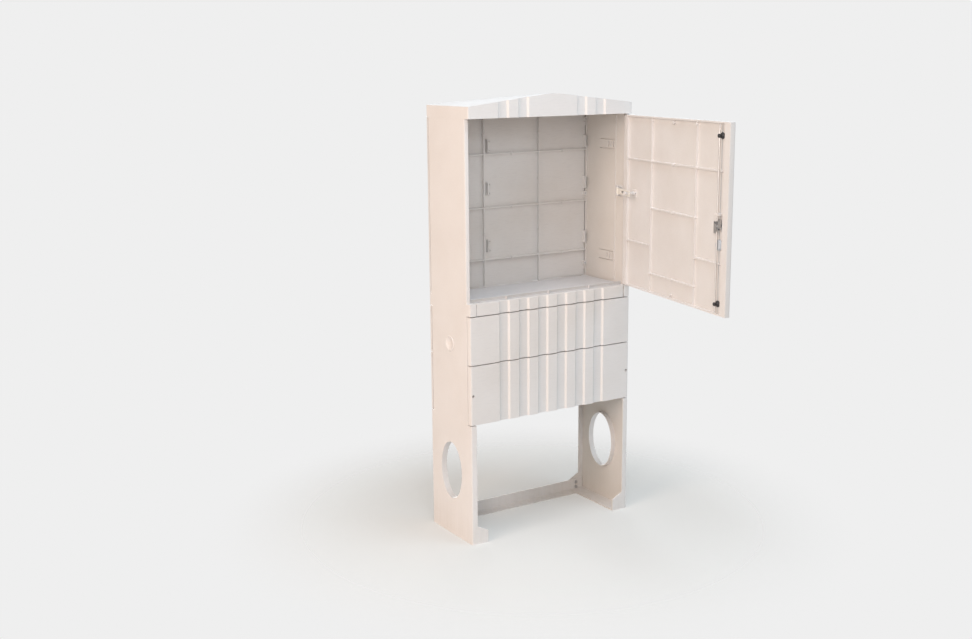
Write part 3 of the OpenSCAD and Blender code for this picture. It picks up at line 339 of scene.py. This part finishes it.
class Effects:
    """Shader node groups that the finishes share, each built once."""

    CLOUD = Noise(5.5, 5.0, 0.55)
    CLOUD_SPAN: Span = (0.32, 0.68)
    CLOUD_TINT: Colour = (0.93, 0.915, 0.90)
    GLOSS_SPAN: Span = (0.3, 0.7)
    SKIN_ROUGHNESS: Span = (0.31, 0.39)
    SKIN = Noise(420.0, 3.0, 0.6)
    FIBRE = Noise(1.0, 1.0)
    FIBRE_TURNS: Tuple[Point, ...] = ((0.3, 0.2, 0.5), (1.2, 0.9, 1.7), (0.7, 1.9, 2.6))
    FIBRE_STRETCH: Point = (26.0, 260.0, 260.0)
    FIBRE_SPAN: Span = (0.6, 0.72)
    FIBRE_TINT: Colour = (0.95, 0.95, 0.955)
    FIBRE_ROUGHNESS = 0.05
    FIBRE_HEIGHT = 0.6
    STREAK = Noise(1.0, 4.0, 0.6)
    STREAK_STRETCH: Point = (38.0, 38.0, 4.0)
    STREAK_SPAN: Span = (0.35, 0.7)
    STREAK_SHARE: Span = (0.25, 1.0)
    PATCH_SCALE = 240.0
    PATCH_SPAN: Span = (0.0, 0.8)
    PATCH_TINT: Colour = (0.74, 0.74, 0.76)
    PATCH_ROUGHNESS = 0.1
    SCRATCH = Noise(1.0, 2.0)
    SCRATCH_STRETCH: Point = (900.0, 900.0, 60.0)
    SCRATCH_SPAN: Span = (0.35, 0.65)
    PLATE_ROUGHNESS: Span = (0.26, 0.40)

    def group(self, name: str, ins: Sockets, outs: Sockets) -> Tuple[Graph, Any, Any]:
        """Starts a node group with named sockets.

        Args:
            name: The group's name.
            ins: Name and socket type of each input.
            outs: Name and socket type of each output.

        Returns:
            The group's graph, its inputs and its outputs.
        """
        tree = bpy.data.node_groups.new(name, "ShaderNodeTree")
        for label, kind in ins:
            tree.interface.new_socket(name=label, in_out="INPUT", socket_type=kind)
        for label, kind in outs:
            tree.interface.new_socket(name=label, in_out="OUTPUT", socket_type=kind)
        graph = Graph(tree)
        given = graph.node("NodeGroupInput").outputs
        return graph, given, graph.node("NodeGroupOutput").inputs

    @cached_property
    def pressed_grain(self) -> bpy.types.NodeTree:
        """Cloudy tone, short fibres and a fine skin, as on pressed glass-fibre mouldings."""
        g, given, result = self.group(
            "pressed_grain",
            [("Colour", COLOUR_SOCKET), ("Mottle", VALUE_SOCKET), ("Fibre", VALUE_SOCKET)],
            [("Colour", COLOUR_SOCKET), ("Roughness", VALUE_SOCKET), ("Height", VALUE_SOCKET)],
        )
        place = g.object_place()
        cloud = g.noise(place, self.CLOUD)
        fine = g.noise(place, self.SKIN)
        fibres: Any = 0.0
        for turn in self.FIBRE_TURNS:
            strand = g.noise(g.laid(place, self.FIBRE_STRETCH, turn), self.FIBRE)
            fibres = g.math("MAXIMUM", fibres, g.span(strand, self.FIBRE_SPAN))
        darker = g.mix(1.0, given["Colour"], self.CLOUD_TINT, "MULTIPLY")
        mottle = g.math("MULTIPLY", g.span(cloud, self.CLOUD_SPAN), given["Mottle"])
        tone = g.mix(mottle, given["Colour"], darker)
        thread = g.mix(1.0, tone, self.FIBRE_TINT, "MULTIPLY")
        tone = g.mix(g.math("MULTIPLY", fibres, given["Fibre"]), tone, thread)
        dull = g.span(cloud, self.GLOSS_SPAN, self.SKIN_ROUGHNESS)
        dull = g.math("ADD", dull, g.math("MULTIPLY", fibres, self.FIBRE_ROUGHNESS))
        height = g.math("ADD", fine, g.math("MULTIPLY", fibres, self.FIBRE_HEIGHT))
        g.link(tone, result["Colour"])
        g.link(dull, result["Roughness"])
        g.link(height, result["Height"])
        return g.tree

    @cached_property
    def settled_dust(self) -> bpy.types.NodeTree:
        """Thin dust that gathers towards the ground, in streaks."""
        g, given, result = self.group(
            "settled_dust",
            [("Colour", COLOUR_SOCKET), ("Dust", COLOUR_SOCKET), ("Reach", VALUE_SOCKET),
             ("Amount", VALUE_SOCKET)],
            [("Colour", COLOUR_SOCKET), ("Mask", VALUE_SOCKET)],
        )
        place = g.object_place()
        split = g.node("ShaderNodeSeparateXYZ")
        g.link(place, split.inputs[0])
        streak = g.noise(g.laid(place, self.STREAK_STRETCH), self.STREAK)
        low = g.span(split.outputs["Z"], UNIT, (1.0, 0.0), smooth=True)
        g.link(given["Reach"], low.node.inputs[RANGE_ENDS[1]])
        streaks = g.span(streak, self.STREAK_SPAN, self.STREAK_SHARE)
        mask = g.math("MULTIPLY", low, streaks)
        mask = g.math("MULTIPLY", mask, given["Amount"])
        g.link(g.mix(mask, given["Colour"], given["Dust"]), result["Colour"])
        g.link(mask, result["Mask"])
        return g.tree

    @cached_property
    def plated_steel(self) -> bpy.types.NodeTree:
        """Patchy plating with fine scratches."""
        g, given, result = self.group(
            "plated_steel",
            [("Colour", COLOUR_SOCKET), ("Patch", VALUE_SOCKET)],
            [("Colour", COLOUR_SOCKET), ("Roughness", VALUE_SOCKET), ("Height", VALUE_SOCKET)],
        )
        place = g.object_place()
        cells = g.node("ShaderNodeTexVoronoi", {"Scale": self.PATCH_SCALE, "Randomness": 1.0})
        g.link(place, cells.inputs["Vector"])
        scratch = g.noise(g.laid(place, self.SCRATCH_STRETCH), self.SCRATCH)
        patch = g.span(cells.outputs["Distance"], self.PATCH_SPAN)
        patch = g.math("MULTIPLY", patch, given["Patch"])
        dark = g.mix(1.0, given["Colour"], self.PATCH_TINT, "MULTIPLY")
        dull = g.span(scratch, self.SCRATCH_SPAN, self.PLATE_ROUGHNESS)
        dull = g.math("ADD", dull, g.math("MULTIPLY", patch, self.PATCH_ROUGHNESS))
        g.link(g.mix(patch, given["Colour"], dark), result["Colour"])
        g.link(dull, result["Roughness"])
        g.link(scratch, result["Height"])
        return g.tree


EFFECTS = Effects()


@dataclass(frozen=True)
class MouldedFinish:
    """Semi-matt finish of a pressed or injection-moulded piece.

    Attributes:
        name: Material name.
        colour: Body colour, linear.
        mottle: Strength of the cloudy tone.
        fibre: Strength of the fibres that show.
        dust: Strength of the dust near the ground.
        dust_colour: Colour of the dust, linear.
        dust_reach: Height up to which dust settles, in metres.
        dust_roughness: How much rougher full dust makes the skin.
        grain: Height of the fine skin, in metres.
        bump: Strength of the fine skin.
        gloss: Specular level.
    """

    name: str
    colour: Colour
    mottle: float = 0.6
    fibre: float = 0.5
    dust: float = 0.25
    dust_colour: Colour = (0.52, 0.47, 0.41)
    dust_reach: float = 0.22
    dust_roughness: float = 0.3
    grain: float = 0.05 * MM
    bump: float = 0.35
    gloss: float = 0.42

    def material(self) -> bpy.types.Material:
        """Builds the material."""
        made = bpy.data.materials.new(self.name)
        made.use_nodes = True
        g = Graph(made.node_tree)
        shader = made.node_tree.nodes["Principled BSDF"]
        values = {"Colour": (*self.colour, 1.0), "Mottle": self.mottle, "Fibre": self.fibre}
        grain = g.node("ShaderNodeGroup", values, node_tree=EFFECTS.pressed_grain)
        values = {
            "Dust": (*self.dust_colour, 1.0), "Reach": self.dust_reach, "Amount": self.dust,
        }
        dust = g.node("ShaderNodeGroup", values, node_tree=EFFECTS.settled_dust)
        g.link(grain.outputs["Colour"], dust.inputs["Colour"])
        g.link(dust.outputs["Colour"], shader.inputs["Base Color"])
        dusty = g.math("MULTIPLY", dust.outputs["Mask"], self.dust_roughness)
        dull = g.math("ADD", grain.outputs["Roughness"], dusty)
        g.link(dull, shader.inputs["Roughness"])
        bump = g.node("ShaderNodeBump", {"Strength": self.bump, "Distance": self.grain})
        g.link(grain.outputs["Height"], bump.inputs["Height"])
        g.link(bump.outputs[0], shader.inputs["Normal"])
        shader.inputs["Specular IOR Level"].default_value = self.gloss
        return made


@dataclass(frozen=True)
class PlatedFinish:
    """Zinc-plated steel.

    Attributes:
        name: Material name.
        colour: Metal colour, linear.
        patch: Strength of the patchy plating.
        scratch: Depth of the scratches, in metres.
        bump: Strength of the scratches.
    """

    name: str
    colour: Colour
    patch: float = 0.6
    scratch: float = 0.03 * MM
    bump: float = 0.15

    def material(self) -> bpy.types.Material:
        """Builds the material."""
        made = bpy.data.materials.new(self.name)
        made.use_nodes = True
        g = Graph(made.node_tree)
        shader = made.node_tree.nodes["Principled BSDF"]
        values = {"Colour": (*self.colour, 1.0), "Patch": self.patch}
        plate = g.node("ShaderNodeGroup", values, node_tree=EFFECTS.plated_steel)
        g.link(plate.outputs["Colour"], shader.inputs["Base Color"])
        g.link(plate.outputs["Roughness"], shader.inputs["Roughness"])
        bump = g.node("ShaderNodeBump", {"Strength": self.bump, "Distance": self.scratch})
        g.link(plate.outputs["Height"], bump.inputs["Height"])
        g.link(bump.outputs[0], shader.inputs["Normal"])
        shader.inputs["Metallic"].default_value = 1.0
        return made


@dataclass
class Finishes:
    """All finishes of the cabinet, built once.

    Attributes:
        shell: Outer skin of the mouldings.
        inner: Inner skin of the door and the rear wall.
        inside: Inner skin of the two sides.
        shelf: Floor shelf.
        lip: Front of the shelf's lip, darker as painted shade of the groove behind the front strip.
        zinc: Bolts, screws and pins.
        rod: Lock rods.
        gear: Spindle and cam of the lock.
        cream: Loop of the door stay.
        handle: Handle and its plate.
        guide: Guides of the lock rods.
    """

    shell: bpy.types.Material = field(init=False)
    inner: bpy.types.Material = field(init=False)
    inside: bpy.types.Material = field(init=False)
    shelf: bpy.types.Material = field(init=False)
    lip: bpy.types.Material = field(init=False)
    zinc: bpy.types.Material = field(init=False)
    rod: bpy.types.Material = field(init=False)
    gear: bpy.types.Material = field(init=False)
    cream: bpy.types.Material = field(init=False)
    handle: bpy.types.Material = field(init=False)
    guide: bpy.types.Material = field(init=False)

    def __post_init__(self) -> None:
        """Builds the materials."""
        raw = {"mottle": 0.8, "fibre": 0.7}
        plain = {"fibre": 0.0, "dust": 0.0}
        self.shell = MouldedFinish("moulded_shell", (0.785, 0.75, 0.735)).material()
        self.inner = MouldedFinish("moulded_inner", (0.742, 0.716, 0.702), **raw).material()
        self.inside = MouldedFinish("side_inside", (0.70, 0.66, 0.62), **raw).material()
        self.shelf = MouldedFinish("shelf_grey", (0.69, 0.675, 0.685), **raw).material()
        # The lip's darker colour is painted shade of the groove behind the front strip.
        self.lip = MouldedFinish("shelf_lip_painted_shade", (0.58, 0.56, 0.55), **raw).material()
        self.zinc = PlatedFinish("plated_zinc", (0.62, 0.62, 0.63)).material()
        self.rod = PlatedFinish("rod_zinc", (0.66, 0.63, 0.60), patch=0.3).material()
        self.gear = PlatedFinish("gear_zinc", (0.34, 0.34, 0.35)).material()
        self.cream = MouldedFinish("stay_cream", (0.82, 0.78, 0.71), 0.3, **plain).material()
        self.handle = MouldedFinish("handle_grey", (0.52, 0.56, 0.61), 0.4, **plain).material()
        self.guide = MouldedFinish("guide_black", (0.028, 0.027, 0.029), 0.5, **plain).material()


@dataclass(frozen=True)
class EdgeSoftener:
    """Copies a CAD node and rounds its sharp edges a little.

    Attributes:
        width: Width of the rounding, in metres.
        segments: Steps of the rounding.
        angle: Edges sharper than this are rounded, in degrees.
        flat_angle: Faces that meet flatter than this are joined first, in degrees.
        smooth_angle: Edges flatter than this are shaded smooth, in degrees.
        weld: Corners nearer than this are one, in metres.
        volume_share: Largest change of volume that a sound rounding makes.
    """

    width: float
    segments: int = 2
    angle: float = 28.0
    flat_angle: float = 0.4
    smooth_angle: float = 32.0
    weld: float = 0.001 * MM
    volume_share: float = 0.06

    def soften(self, bm: bmesh.types.BMesh) -> bool:
        """Rounds the sharp edges of a mesh.

        Args:
            bm: The mesh.

        Returns:
            Whether the mesh is still closed and kept its volume.
        """
        bmesh.ops.remove_doubles(bm, verts=bm.verts, dist=self.weld)
        before = abs(bm.calc_volume())
        flat = math.radians(self.flat_angle)
        bmesh.ops.dissolve_limit(bm, angle_limit=flat, verts=bm.verts, edges=bm.edges)
        limit = math.radians(self.angle)
        inner = [e for e in bm.edges if len(e.link_faces) == 2]
        bmesh.ops.bevel(
            bm, geom=[e for e in inner if e.calc_face_angle(0.0) > limit], offset=self.width,
            offset_type="OFFSET", affect="EDGES", segments=self.segments, profile=ARC,
            material=-1, clamp_overlap=True, face_strength_mode="ALL",
        )
        bmesh.ops.triangulate(bm, faces=[f for f in bm.faces if len(f.verts) > 4])
        change = abs(abs(bm.calc_volume()) - before)
        closed = all(len(e.link_faces) == 2 for e in bm.edges)
        return closed and before > 0.0 and change <= self.volume_share * before

    def shade(self, bm: bmesh.types.BMesh) -> None:
        """Shades a mesh smooth but for its sharp edges."""
        limit = math.radians(self.smooth_angle)
        for face in bm.faces:
            face.smooth = True
        for edge in bm.edges:
            edge.smooth = len(edge.link_faces) != 2 or edge.calc_face_angle(0.0) < limit

    def copy(
        self, node: str, body: Body, material: bpy.types.Material, slot: Slot
    ) -> bpy.types.Object:
        """Makes the softened piece that stands for a node.

        Args:
            node: The CAD node's name.
            body: The body that it rides on.
            material: Its finish.
            slot: The record's slot; not used.

        Returns:
            The new object, or the node's own object where the rounding would harm its shape.
        """
        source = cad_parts[node]
        bm = bmesh.new()
        bm.from_mesh(source.data)
        if not self.soften(bm):
            bm.free()
            LOG.info("%s keeps its CAD mesh", node)
            dress(source, material)
            return source
        self.shade(bm)
        piece = add_mesh(node + "_soft", bm)
        flat = piece.modifiers.new("flat_faces", "WEIGHTED_NORMAL")
        flat.keep_sharp = True
        flat.use_face_influence = True
        dress(piece, material)
        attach(piece, body.value)
        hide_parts(node)
        LOG.info("%s softened, %d faces", node, len(piece.data.polygons))
        return piece


@dataclass(frozen=True)
class Dresser:
    """Softens and dresses sets of nodes of one body.

    Attributes:
        body: The body that the nodes ride on.
        softener: How their edges are rounded.
    """

    body: Body
    softener: EdgeSoftener

    def build(
        self, finish: bpy.types.Material, slot: Slot, *nodes: str
    ) -> List[bpy.types.Object]:
        """Makes each piece of one set.

        Args:
            finish: The set's material.
            slot: The record's slot.
            *nodes: The nodes' names.

        Returns:
            The pieces in order.
        """
        return [self.softener.copy(node, self.body, finish, slot) for node in nodes]


@dataclass
class Cabinet:
    """The standing part: sides, roof, panels, shelf, rail and what is fixed to them.

    Attributes:
        finishes: The cabinet's finishes.
        shell_edge: Rounding of the outer mouldings, in metres.
        inner_edge: Rounding of the pieces inside, in metres.
        metal_edge: Rounding of bolts, screws and pins, in metres.
        lip_y: Faces of the shelf in front of this belong to its lip, in metres.
    """

    finishes: Finishes
    shell_edge: float = 0.9 * MM
    inner_edge: float = 0.6 * MM
    metal_edge: float = 0.4 * MM
    lip_y: float = -120.0 * MM

    def on_lip(self, face: bpy.types.MeshPolygon) -> bool:
        """Says whether a face of the shelf is on the front of its lip."""
        return face.normal.y < -FACING and face.center.y < self.lip_y

    def build(self) -> None:
        """Dresses every node of the standing part."""
        f = self.finishes
        outer = Dresser(Body.CABINET, EdgeSoftener(self.shell_edge))
        within = Dresser(Body.CABINET, EdgeSoftener(self.inner_edge))
        metal = Dresser(Body.CABINET, EdgeSoftener(self.metal_edge))
        left, right, *_ = outer.build(
            f.shell, Slot.MOULDING, "left_side", "right_side", "roof", "rear_strip",
            "rear_panel_upper", "rear_panel_lower", "front_strip", "front_panel_upper",
            "front_panel_lower", "rear_rail", "side_caps",
        )
        dress_some(left, f.inside, lambda face: face.normal.x > FACING)
        dress_some(right, f.inside, lambda face: face.normal.x < -FACING)
        within.build(
            f.inner, Slot.MOULDING, "rear_wall", "mounting_brackets", "stay_bracket",
            "corner_clips",
        )
        shelf, *_ = within.build(f.shelf, Slot.MOULDING, "floor_shelf")
        # The lip's front faces get the darker finish, which is painted shade.
        dress_some(shelf, f.lip, self.on_lip)
        metal.build(
            f.zinc, Slot.ZINC, "rail_bolts", "panel_screws", "hinge_pin_lower",
            "hinge_pin_upper", "stay_pin",
        )


@dataclass
class Door:
    """The door with its lock gear and stay.

    Attributes:
        finishes: The cabinet's finishes.
        soft_edge: Rounding of the mouldings, in metres.
        fine_edge: Rounding of the small gear, in metres.
    """

    finishes: Finishes
    soft_edge: float = 0.8 * MM
    fine_edge: float = 0.4 * MM

    def build(self) -> None:
        """Dresses every node that moves."""
        f = self.finishes
        soft, fine = EdgeSoftener(self.soft_edge), EdgeSoftener(self.fine_edge)
        inward = Vector(door_inward())
        door = Dresser(Body.DOOR, soft)
        panel, *_ = door.build(f.shell, Slot.MOULDING, "door_panel", "stay_post")
        dress_some(panel, f.inner, lambda face: face.normal.dot(inward) > FACING)
        door.build(f.handle, Slot.HANDLE, "handle_plate", "fixing_disc")
        door.build(f.guide, Slot.GUIDE, "rod_guide_upper", "rod_guide_lower")
        spindle = Dresser(Body.SPINDLE, fine)
        spindle.build(f.gear, Slot.ZINC, "handle_spindle", "lock_cam", "lever_pin")
        Dresser(Body.LEVER, soft).build(f.handle, Slot.HANDLE, "handle_lever")
        Dresser(Body.LEVER, fine).build(f.zinc, Slot.ZINC, "lock_barrel", "cover_rivet")
        Dresser(Body.PLUG, fine).build(f.zinc, Slot.ZINC, "key_plug")
        Dresser(Body.COVER, fine).build(f.handle, Slot.HANDLE, "key_cover")
        Dresser(Body.ROD_UP, fine).build(f.rod, Slot.ZINC, "upper_rod")
        Dresser(Body.ROD_UP, fine).build(f.shell, Slot.HANDLE, "rod_clip")
        Dresser(Body.ROD_DOWN, fine).build(f.rod, Slot.ZINC, "lower_rod")
        Dresser(Body.STAY, fine).build(f.cream, Slot.ZINC, "stay_loop")


@dataclass(frozen=True)
class ScrewHead:
    """Round screw head with a sunk drive, its seat at the origin and its axis along +Z.

    Attributes:
        radius: Radius of the head, in metres.
        height: Height of the head, in metres.
        sides: Number of sides of the round.
        steps: Steps of the rounded rim.
        rounding: Rounding of the rim, as a share of the height.
        rim: Flat rim round the drive, as a share of the radius.
        slope: Slope of the drive's wall, as a share of the radius.
        sink: Depth of the drive, as a share of the height.
    """

    radius: float
    height: float
    sides: int = 24
    steps: int = 4
    rounding: float = 0.6
    rim: float = 0.12
    slope: float = 0.06
    sink: float = 0.45

    def add(self, bm: bmesh.types.BMesh, at: Point, axis: Point) -> None:
        """Adds one head to a mesh.

        Args:
            bm: The mesh it goes into.
            at: Centre of its seat.
            axis: Direction that the head faces.
        """
        made = bmesh.ops.create_cone(
            bm, cap_ends=True, segments=self.sides, radius1=self.radius, radius2=self.radius,
            depth=self.height, matrix=Matrix.Translation((0.0, 0.0, self.height / 2)),
        )["verts"]
        top = max((f for v in made for f in v.link_faces), key=lambda f: f.normal.z)
        bevelled = bmesh.ops.bevel(
            bm, geom=list(top.edges), offset=self.height * self.rounding, offset_type="OFFSET",
            affect="EDGES", segments=self.steps, profile=ARC, material=-1, clamp_overlap=True,
        )
        verts = {v for f in bevelled["faces"] for v in f.verts} | {v for v in made if v.is_valid}
        crown = max(
            (f for v in verts for f in v.link_faces), key=lambda f: f.calc_center_median().z
        )
        for thickness, depth in ((self.rim, 0.0), (self.slope, -self.height * self.sink)):
            bmesh.ops.inset_individual(
                bm, faces=[crown], thickness=self.radius * thickness, depth=depth
            )
        verts |= {v for w in crown.verts for e in w.link_edges for v in e.verts}
        turn = Vector((0.0, 0.0, 1.0)).rotation_difference(Vector(axis)).to_matrix().to_4x4()
        bmesh.ops.transform(bm, matrix=Matrix.Translation(at) @ turn, verts=list(verts))


@dataclass
class Fixings:
    """Small screws that hold the clips, the stay and the cam; places are in millimetres.

    Attributes:
        finish: Their material.
        clip_head: Head of the clip screws.
        clip_x: Clip screws, from the middle to both sides.
        clip_y: Seat of the clip screws.
        clip_rows: Heights of the clip screws.
        bracket_head: Head of the stay bracket's screws.
        bracket_x: Seat of the stay bracket's screws.
        bracket_y: Place of the stay bracket's screws to the back.
        bracket_rows: Heights of the stay bracket's screws.
        post_head: Head of the stay post's screws.
        post_at: Middle of the stay post's foot on the shut door.
        post_reach: Its screws from that middle.
        cam_head: Head of the cam's screw.
        cam_at: Seat of the cam's screw on the shut door.
    """

    finish: bpy.types.Material
    clip_head: ScrewHead = ScrewHead(3.2 * MM, 1.8 * MM)
    clip_x: float = 378.0
    clip_y: float = 135.4
    clip_rows: Tuple[float, ...] = (1046.0, 1352.0, 1670.0)
    bracket_head: ScrewHead = ScrewHead(3.6 * MM, 2.0 * MM)
    bracket_x: float = 383.5
    bracket_y: float = -76.5
    bracket_rows: Tuple[float, ...] = (1367.0, 1397.0)
    post_head: ScrewHead = ScrewHead(3.4 * MM, 2.0 * MM)
    post_at: Point = (308.0, -143.0, 1382.0)
    post_reach: float = 12.0
    cam_head: ScrewHead = ScrewHead(4.2 * MM, 2.4 * MM)
    cam_at: Point = (-332.0, -135.0, 1323.0)

    def place(
        self, name: str, body: Body, head: ScrewHead, axis: Point, spots: Sequence[Point]
    ) -> None:
        """Makes one piece out of several equal heads.

        Args:
            name: The piece's name.
            body: The body that it rides on.
            head: The head's size.
            axis: Direction that the heads face.
            spots: Centre of each head's seat, in metres.
        """
        bm = bmesh.new()
        for spot in spots:
            head.add(bm, spot, axis)
        for face in bm.faces:
            face.smooth = True
        piece = add_mesh(name, bm)
        dress(piece, self.finish)
        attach(piece, body.value)
        LOG.info("%s made, %d heads", name, len(spots))

    def build(self) -> None:
        """Sets the screws of clips, stay and cam."""
        inward = door_inward()
        spots = [
            (side * self.clip_x * MM, self.clip_y * MM, z * MM)
            for side in (-1, 1) for z in self.clip_rows
        ]
        self.place("clip_screws", Body.CABINET, self.clip_head, TO_FRONT, spots)
        spots = [(self.bracket_x * MM, self.bracket_y * MM, z * MM) for z in self.bracket_rows]
        self.place("stay_bracket_screws", Body.CABINET, self.bracket_head, TO_LEFT, spots)
        x, y, z = self.post_at
        spots = [on_door(x + side * self.post_reach, y, z) for side in (-1, 1)]
        self.place("stay_post_screws", Body.DOOR, self.post_head, inward, spots)
        self.place("cam_screw", Body.SPINDLE, self.cam_head, inward, [on_door(*self.cam_at)])


@dataclass(frozen=True)
class Lamp:
    """One soft square lamp.

    Attributes:
        name: The lamp's name.
        at: Its place, in metres.
        aim: The point it faces, in metres.
        size: Side length, in metres.
        power: Power, in watts.
        colour: Light colour.
    """

    name: str
    at: Point
    aim: Point
    size: float
    power: float
    colour: Colour

    def build(self) -> None:
        """Adds the lamp."""
        data = bpy.data.lights.new(self.name, "AREA")
        data.shape = "SQUARE"
        data.size = self.size
        data.energy = self.power
        data.color = self.colour
        made = add_object(self.name, data)
        made.location = self.at
        ahead = Vector(self.aim) - Vector(self.at)
        made.rotation_euler = ahead.to_track_quat("-Z", "Y").to_euler()


WARM: Colour = (1.0, 0.78, 0.645)
LAMPS: Tuple[Lamp, ...] = (
    Lamp("key_left", (-5.2, -1.4, 3.4), (-0.4, 0.0, 1.1), 2.6, 158.0, WARM),
    Lamp("key_low", (-4.8, -1.6, 0.9), (-0.3, 0.0, 0.9), 1.8, 38.0, WARM),
    Lamp("front_left", (-2.1, -3.2, 2.7), (-0.1, 0.0, 1.3), 1.6, 46.0, (0.95, 0.97, 1.0)),
    Lamp("fill_right", (3.6, -4.2, 4.0), (0.0, 0.0, 1.3), 2.6, 75.0, (0.60, 0.80, 1.0)),
    Lamp("top_soft", (0.0, -1.0, 5.0), (0.0, 0.0, 1.1), 2.6, 122.0, (0.72, 0.87, 1.0)),
    Lamp("rear_soft", (2.4, 4.4, 0.9), (0.0, 0.0, 0.9), 1.6, 58.0, (1.0, 0.98, 0.96)),
)


@dataclass
class Studio:
    """Pale floor, soft light and the camera.

    Attributes:
        camera_at: Camera position, in metres.
        azimuth: Direction of view round the object, in degrees.
        elevation: How far the view looks down, in degrees.
        roll: Roll of the image, in degrees.
        focal_px: Focal length in pixels of the photograph.
        width_px: Width of the photograph.
        sensor: Width of the camera's sensor, in millimetres.
        far: Farthest distance that the camera sees, in metres.
        ground: Colour of the backdrop, linear.
        paper: Colour of the floor as the camera sees it, linear.
        bounce: Colour of the floor as it throws light back, linear.
        paper_roughness: Roughness of the floor.
        paper_gloss: Specular level of the floor.
        floor_half: Half the floor's side length, in metres.
        floor_parts: Number of faces along each side of the floor.
        wide_fade: Distances between which the floor fades out for light, in metres.
        near_fade: Distances between which it fades out for the camera, in metres.
        near_clear: How clear it is for the camera at those distances.
        sky: Colour of the even light from all round.
        sky_strength: Strength of that light.
    """

    camera_at: Point = (-2.7895, -4.1229, 1.9078)
    azimuth: float = -31.930
    elevation: float = 11.883
    roll: float = -0.515
    focal_px: float = 1218.3
    width_px: float = 972.0
    sensor: float = 36.0
    far: float = 200.0
    ground: Colour = (0.863, 0.863, 0.863)
    paper: Colour = (0.74, 0.725, 0.70)
    bounce: Colour = (0.80, 0.80, 0.80)
    paper_roughness: float = 0.9
    paper_gloss: float = 0.1
    floor_half: float = 14.0
    floor_parts: int = 8
    wide_fade: Span = (1.2, 5.0)
    near_fade: Span = (0.5, 1.4)
    near_clear: Span = (0.30, 1.0)
    sky: Colour = (1.0, 0.94, 0.78)
    sky_strength: float = 0.25

    def camera(self) -> None:
        """Sets the camera at the photograph's angle."""
        az, el, ro = (math.radians(v) for v in (self.azimuth, self.elevation, self.roll))
        right = Vector((math.cos(az), math.sin(az), 0.0))
        ahead = Vector((-math.sin(az) * math.cos(el), math.cos(az) * math.cos(el), -math.sin(el)))
        up = right.cross(ahead)
        turned_right = math.cos(ro) * right + math.sin(ro) * up
        turned_up = math.cos(ro) * up - math.sin(ro) * right
        data = bpy.data.cameras.new("photo_camera")
        data.sensor_fit = "HORIZONTAL"
        data.sensor_width = self.sensor
        data.lens = self.sensor * self.focal_px / self.width_px
        data.clip_end = self.far
        made = add_object("photo_camera", data)
        basis = Matrix((turned_right, turned_up, -ahead)).transposed().to_4x4()
        made.matrix_world = Matrix.Translation(self.camera_at) @ basis
        bpy.context.scene.camera = made

    def floor_paper(self) -> bpy.types.Material:
        """Builds the floor's material, which fades into the backdrop."""
        made = bpy.data.materials.new("floor_paper")
        made.use_nodes = True
        g = Graph(made.node_tree)
        shader = made.node_tree.nodes["Principled BSDF"]
        seen = g.node("ShaderNodeLightPath").outputs["Is Camera Ray"]
        g.link(g.mix(seen, self.bounce, self.paper), shader.inputs["Base Color"])
        shader.inputs["Roughness"].default_value = self.paper_roughness
        shader.inputs["Specular IOR Level"].default_value = self.paper_gloss
        length = g.node("ShaderNodeVectorMath", operation="LENGTH")
        g.link(g.object_place(), length.inputs[0])
        away = length.outputs["Value"]
        wide = g.span(away, self.wide_fade)
        near = g.span(away, self.near_fade, self.near_clear, smooth=True)
        fade = g.math("MAXIMUM", wide, g.math("MULTIPLY", seen, near))
        g.surface(fade, shader, g.node("ShaderNodeBsdfTransparent"), "Material Output")
        return made

    def floor(self) -> None:
        """Lays the pale floor."""
        bm = bmesh.new()
        parts = self.floor_parts
        bmesh.ops.create_grid(bm, x_segments=parts, y_segments=parts, size=self.floor_half)
        made = add_mesh("floor", bm)
        dress(made, self.floor_paper())

    def world(self) -> None:
        """Sets an even soft sky, with a plain pale backdrop for the camera."""
        world = bpy.data.worlds.new("studio")
        world.use_nodes = True
        bpy.context.scene.world = world
        g = Graph(world.node_tree)
        sky = world.node_tree.nodes["Background"]
        sky.inputs["Color"].default_value = (*self.sky, 1.0)
        sky.inputs["Strength"].default_value = self.sky_strength
        values = {"Color": (*self.ground, 1.0), "Strength": 1.0}
        plain = g.node("ShaderNodeBackground", values)
        path = g.node("ShaderNodeLightPath").outputs
        seen = g.math("MAXIMUM", path["Is Camera Ray"], path["Is Transmission Ray"])
        seen = g.math("MAXIMUM", seen, path["Is Glossy Ray"])
        g.surface(seen, sky, plain, "World Output")

    def build(self) -> None:
        """Builds floor, backdrop, lamps and camera."""
        self.camera()
        self.floor()
        self.world()
        for lamp in LAMPS:
            lamp.build()
        bpy.context.scene.view_settings.view_transform = "Standard"


def main() -> None:
    """Builds the pieces in order."""
    logging.basicConfig(level=logging.INFO, format="%(name)s: %(message)s")
    Studio().build()
    finishes = Finishes()
    Cabinet(finishes).build()
    Door(finishes).build()
    Fixings(finishes.zinc).build()


if __name__ == "__main__":
    main()
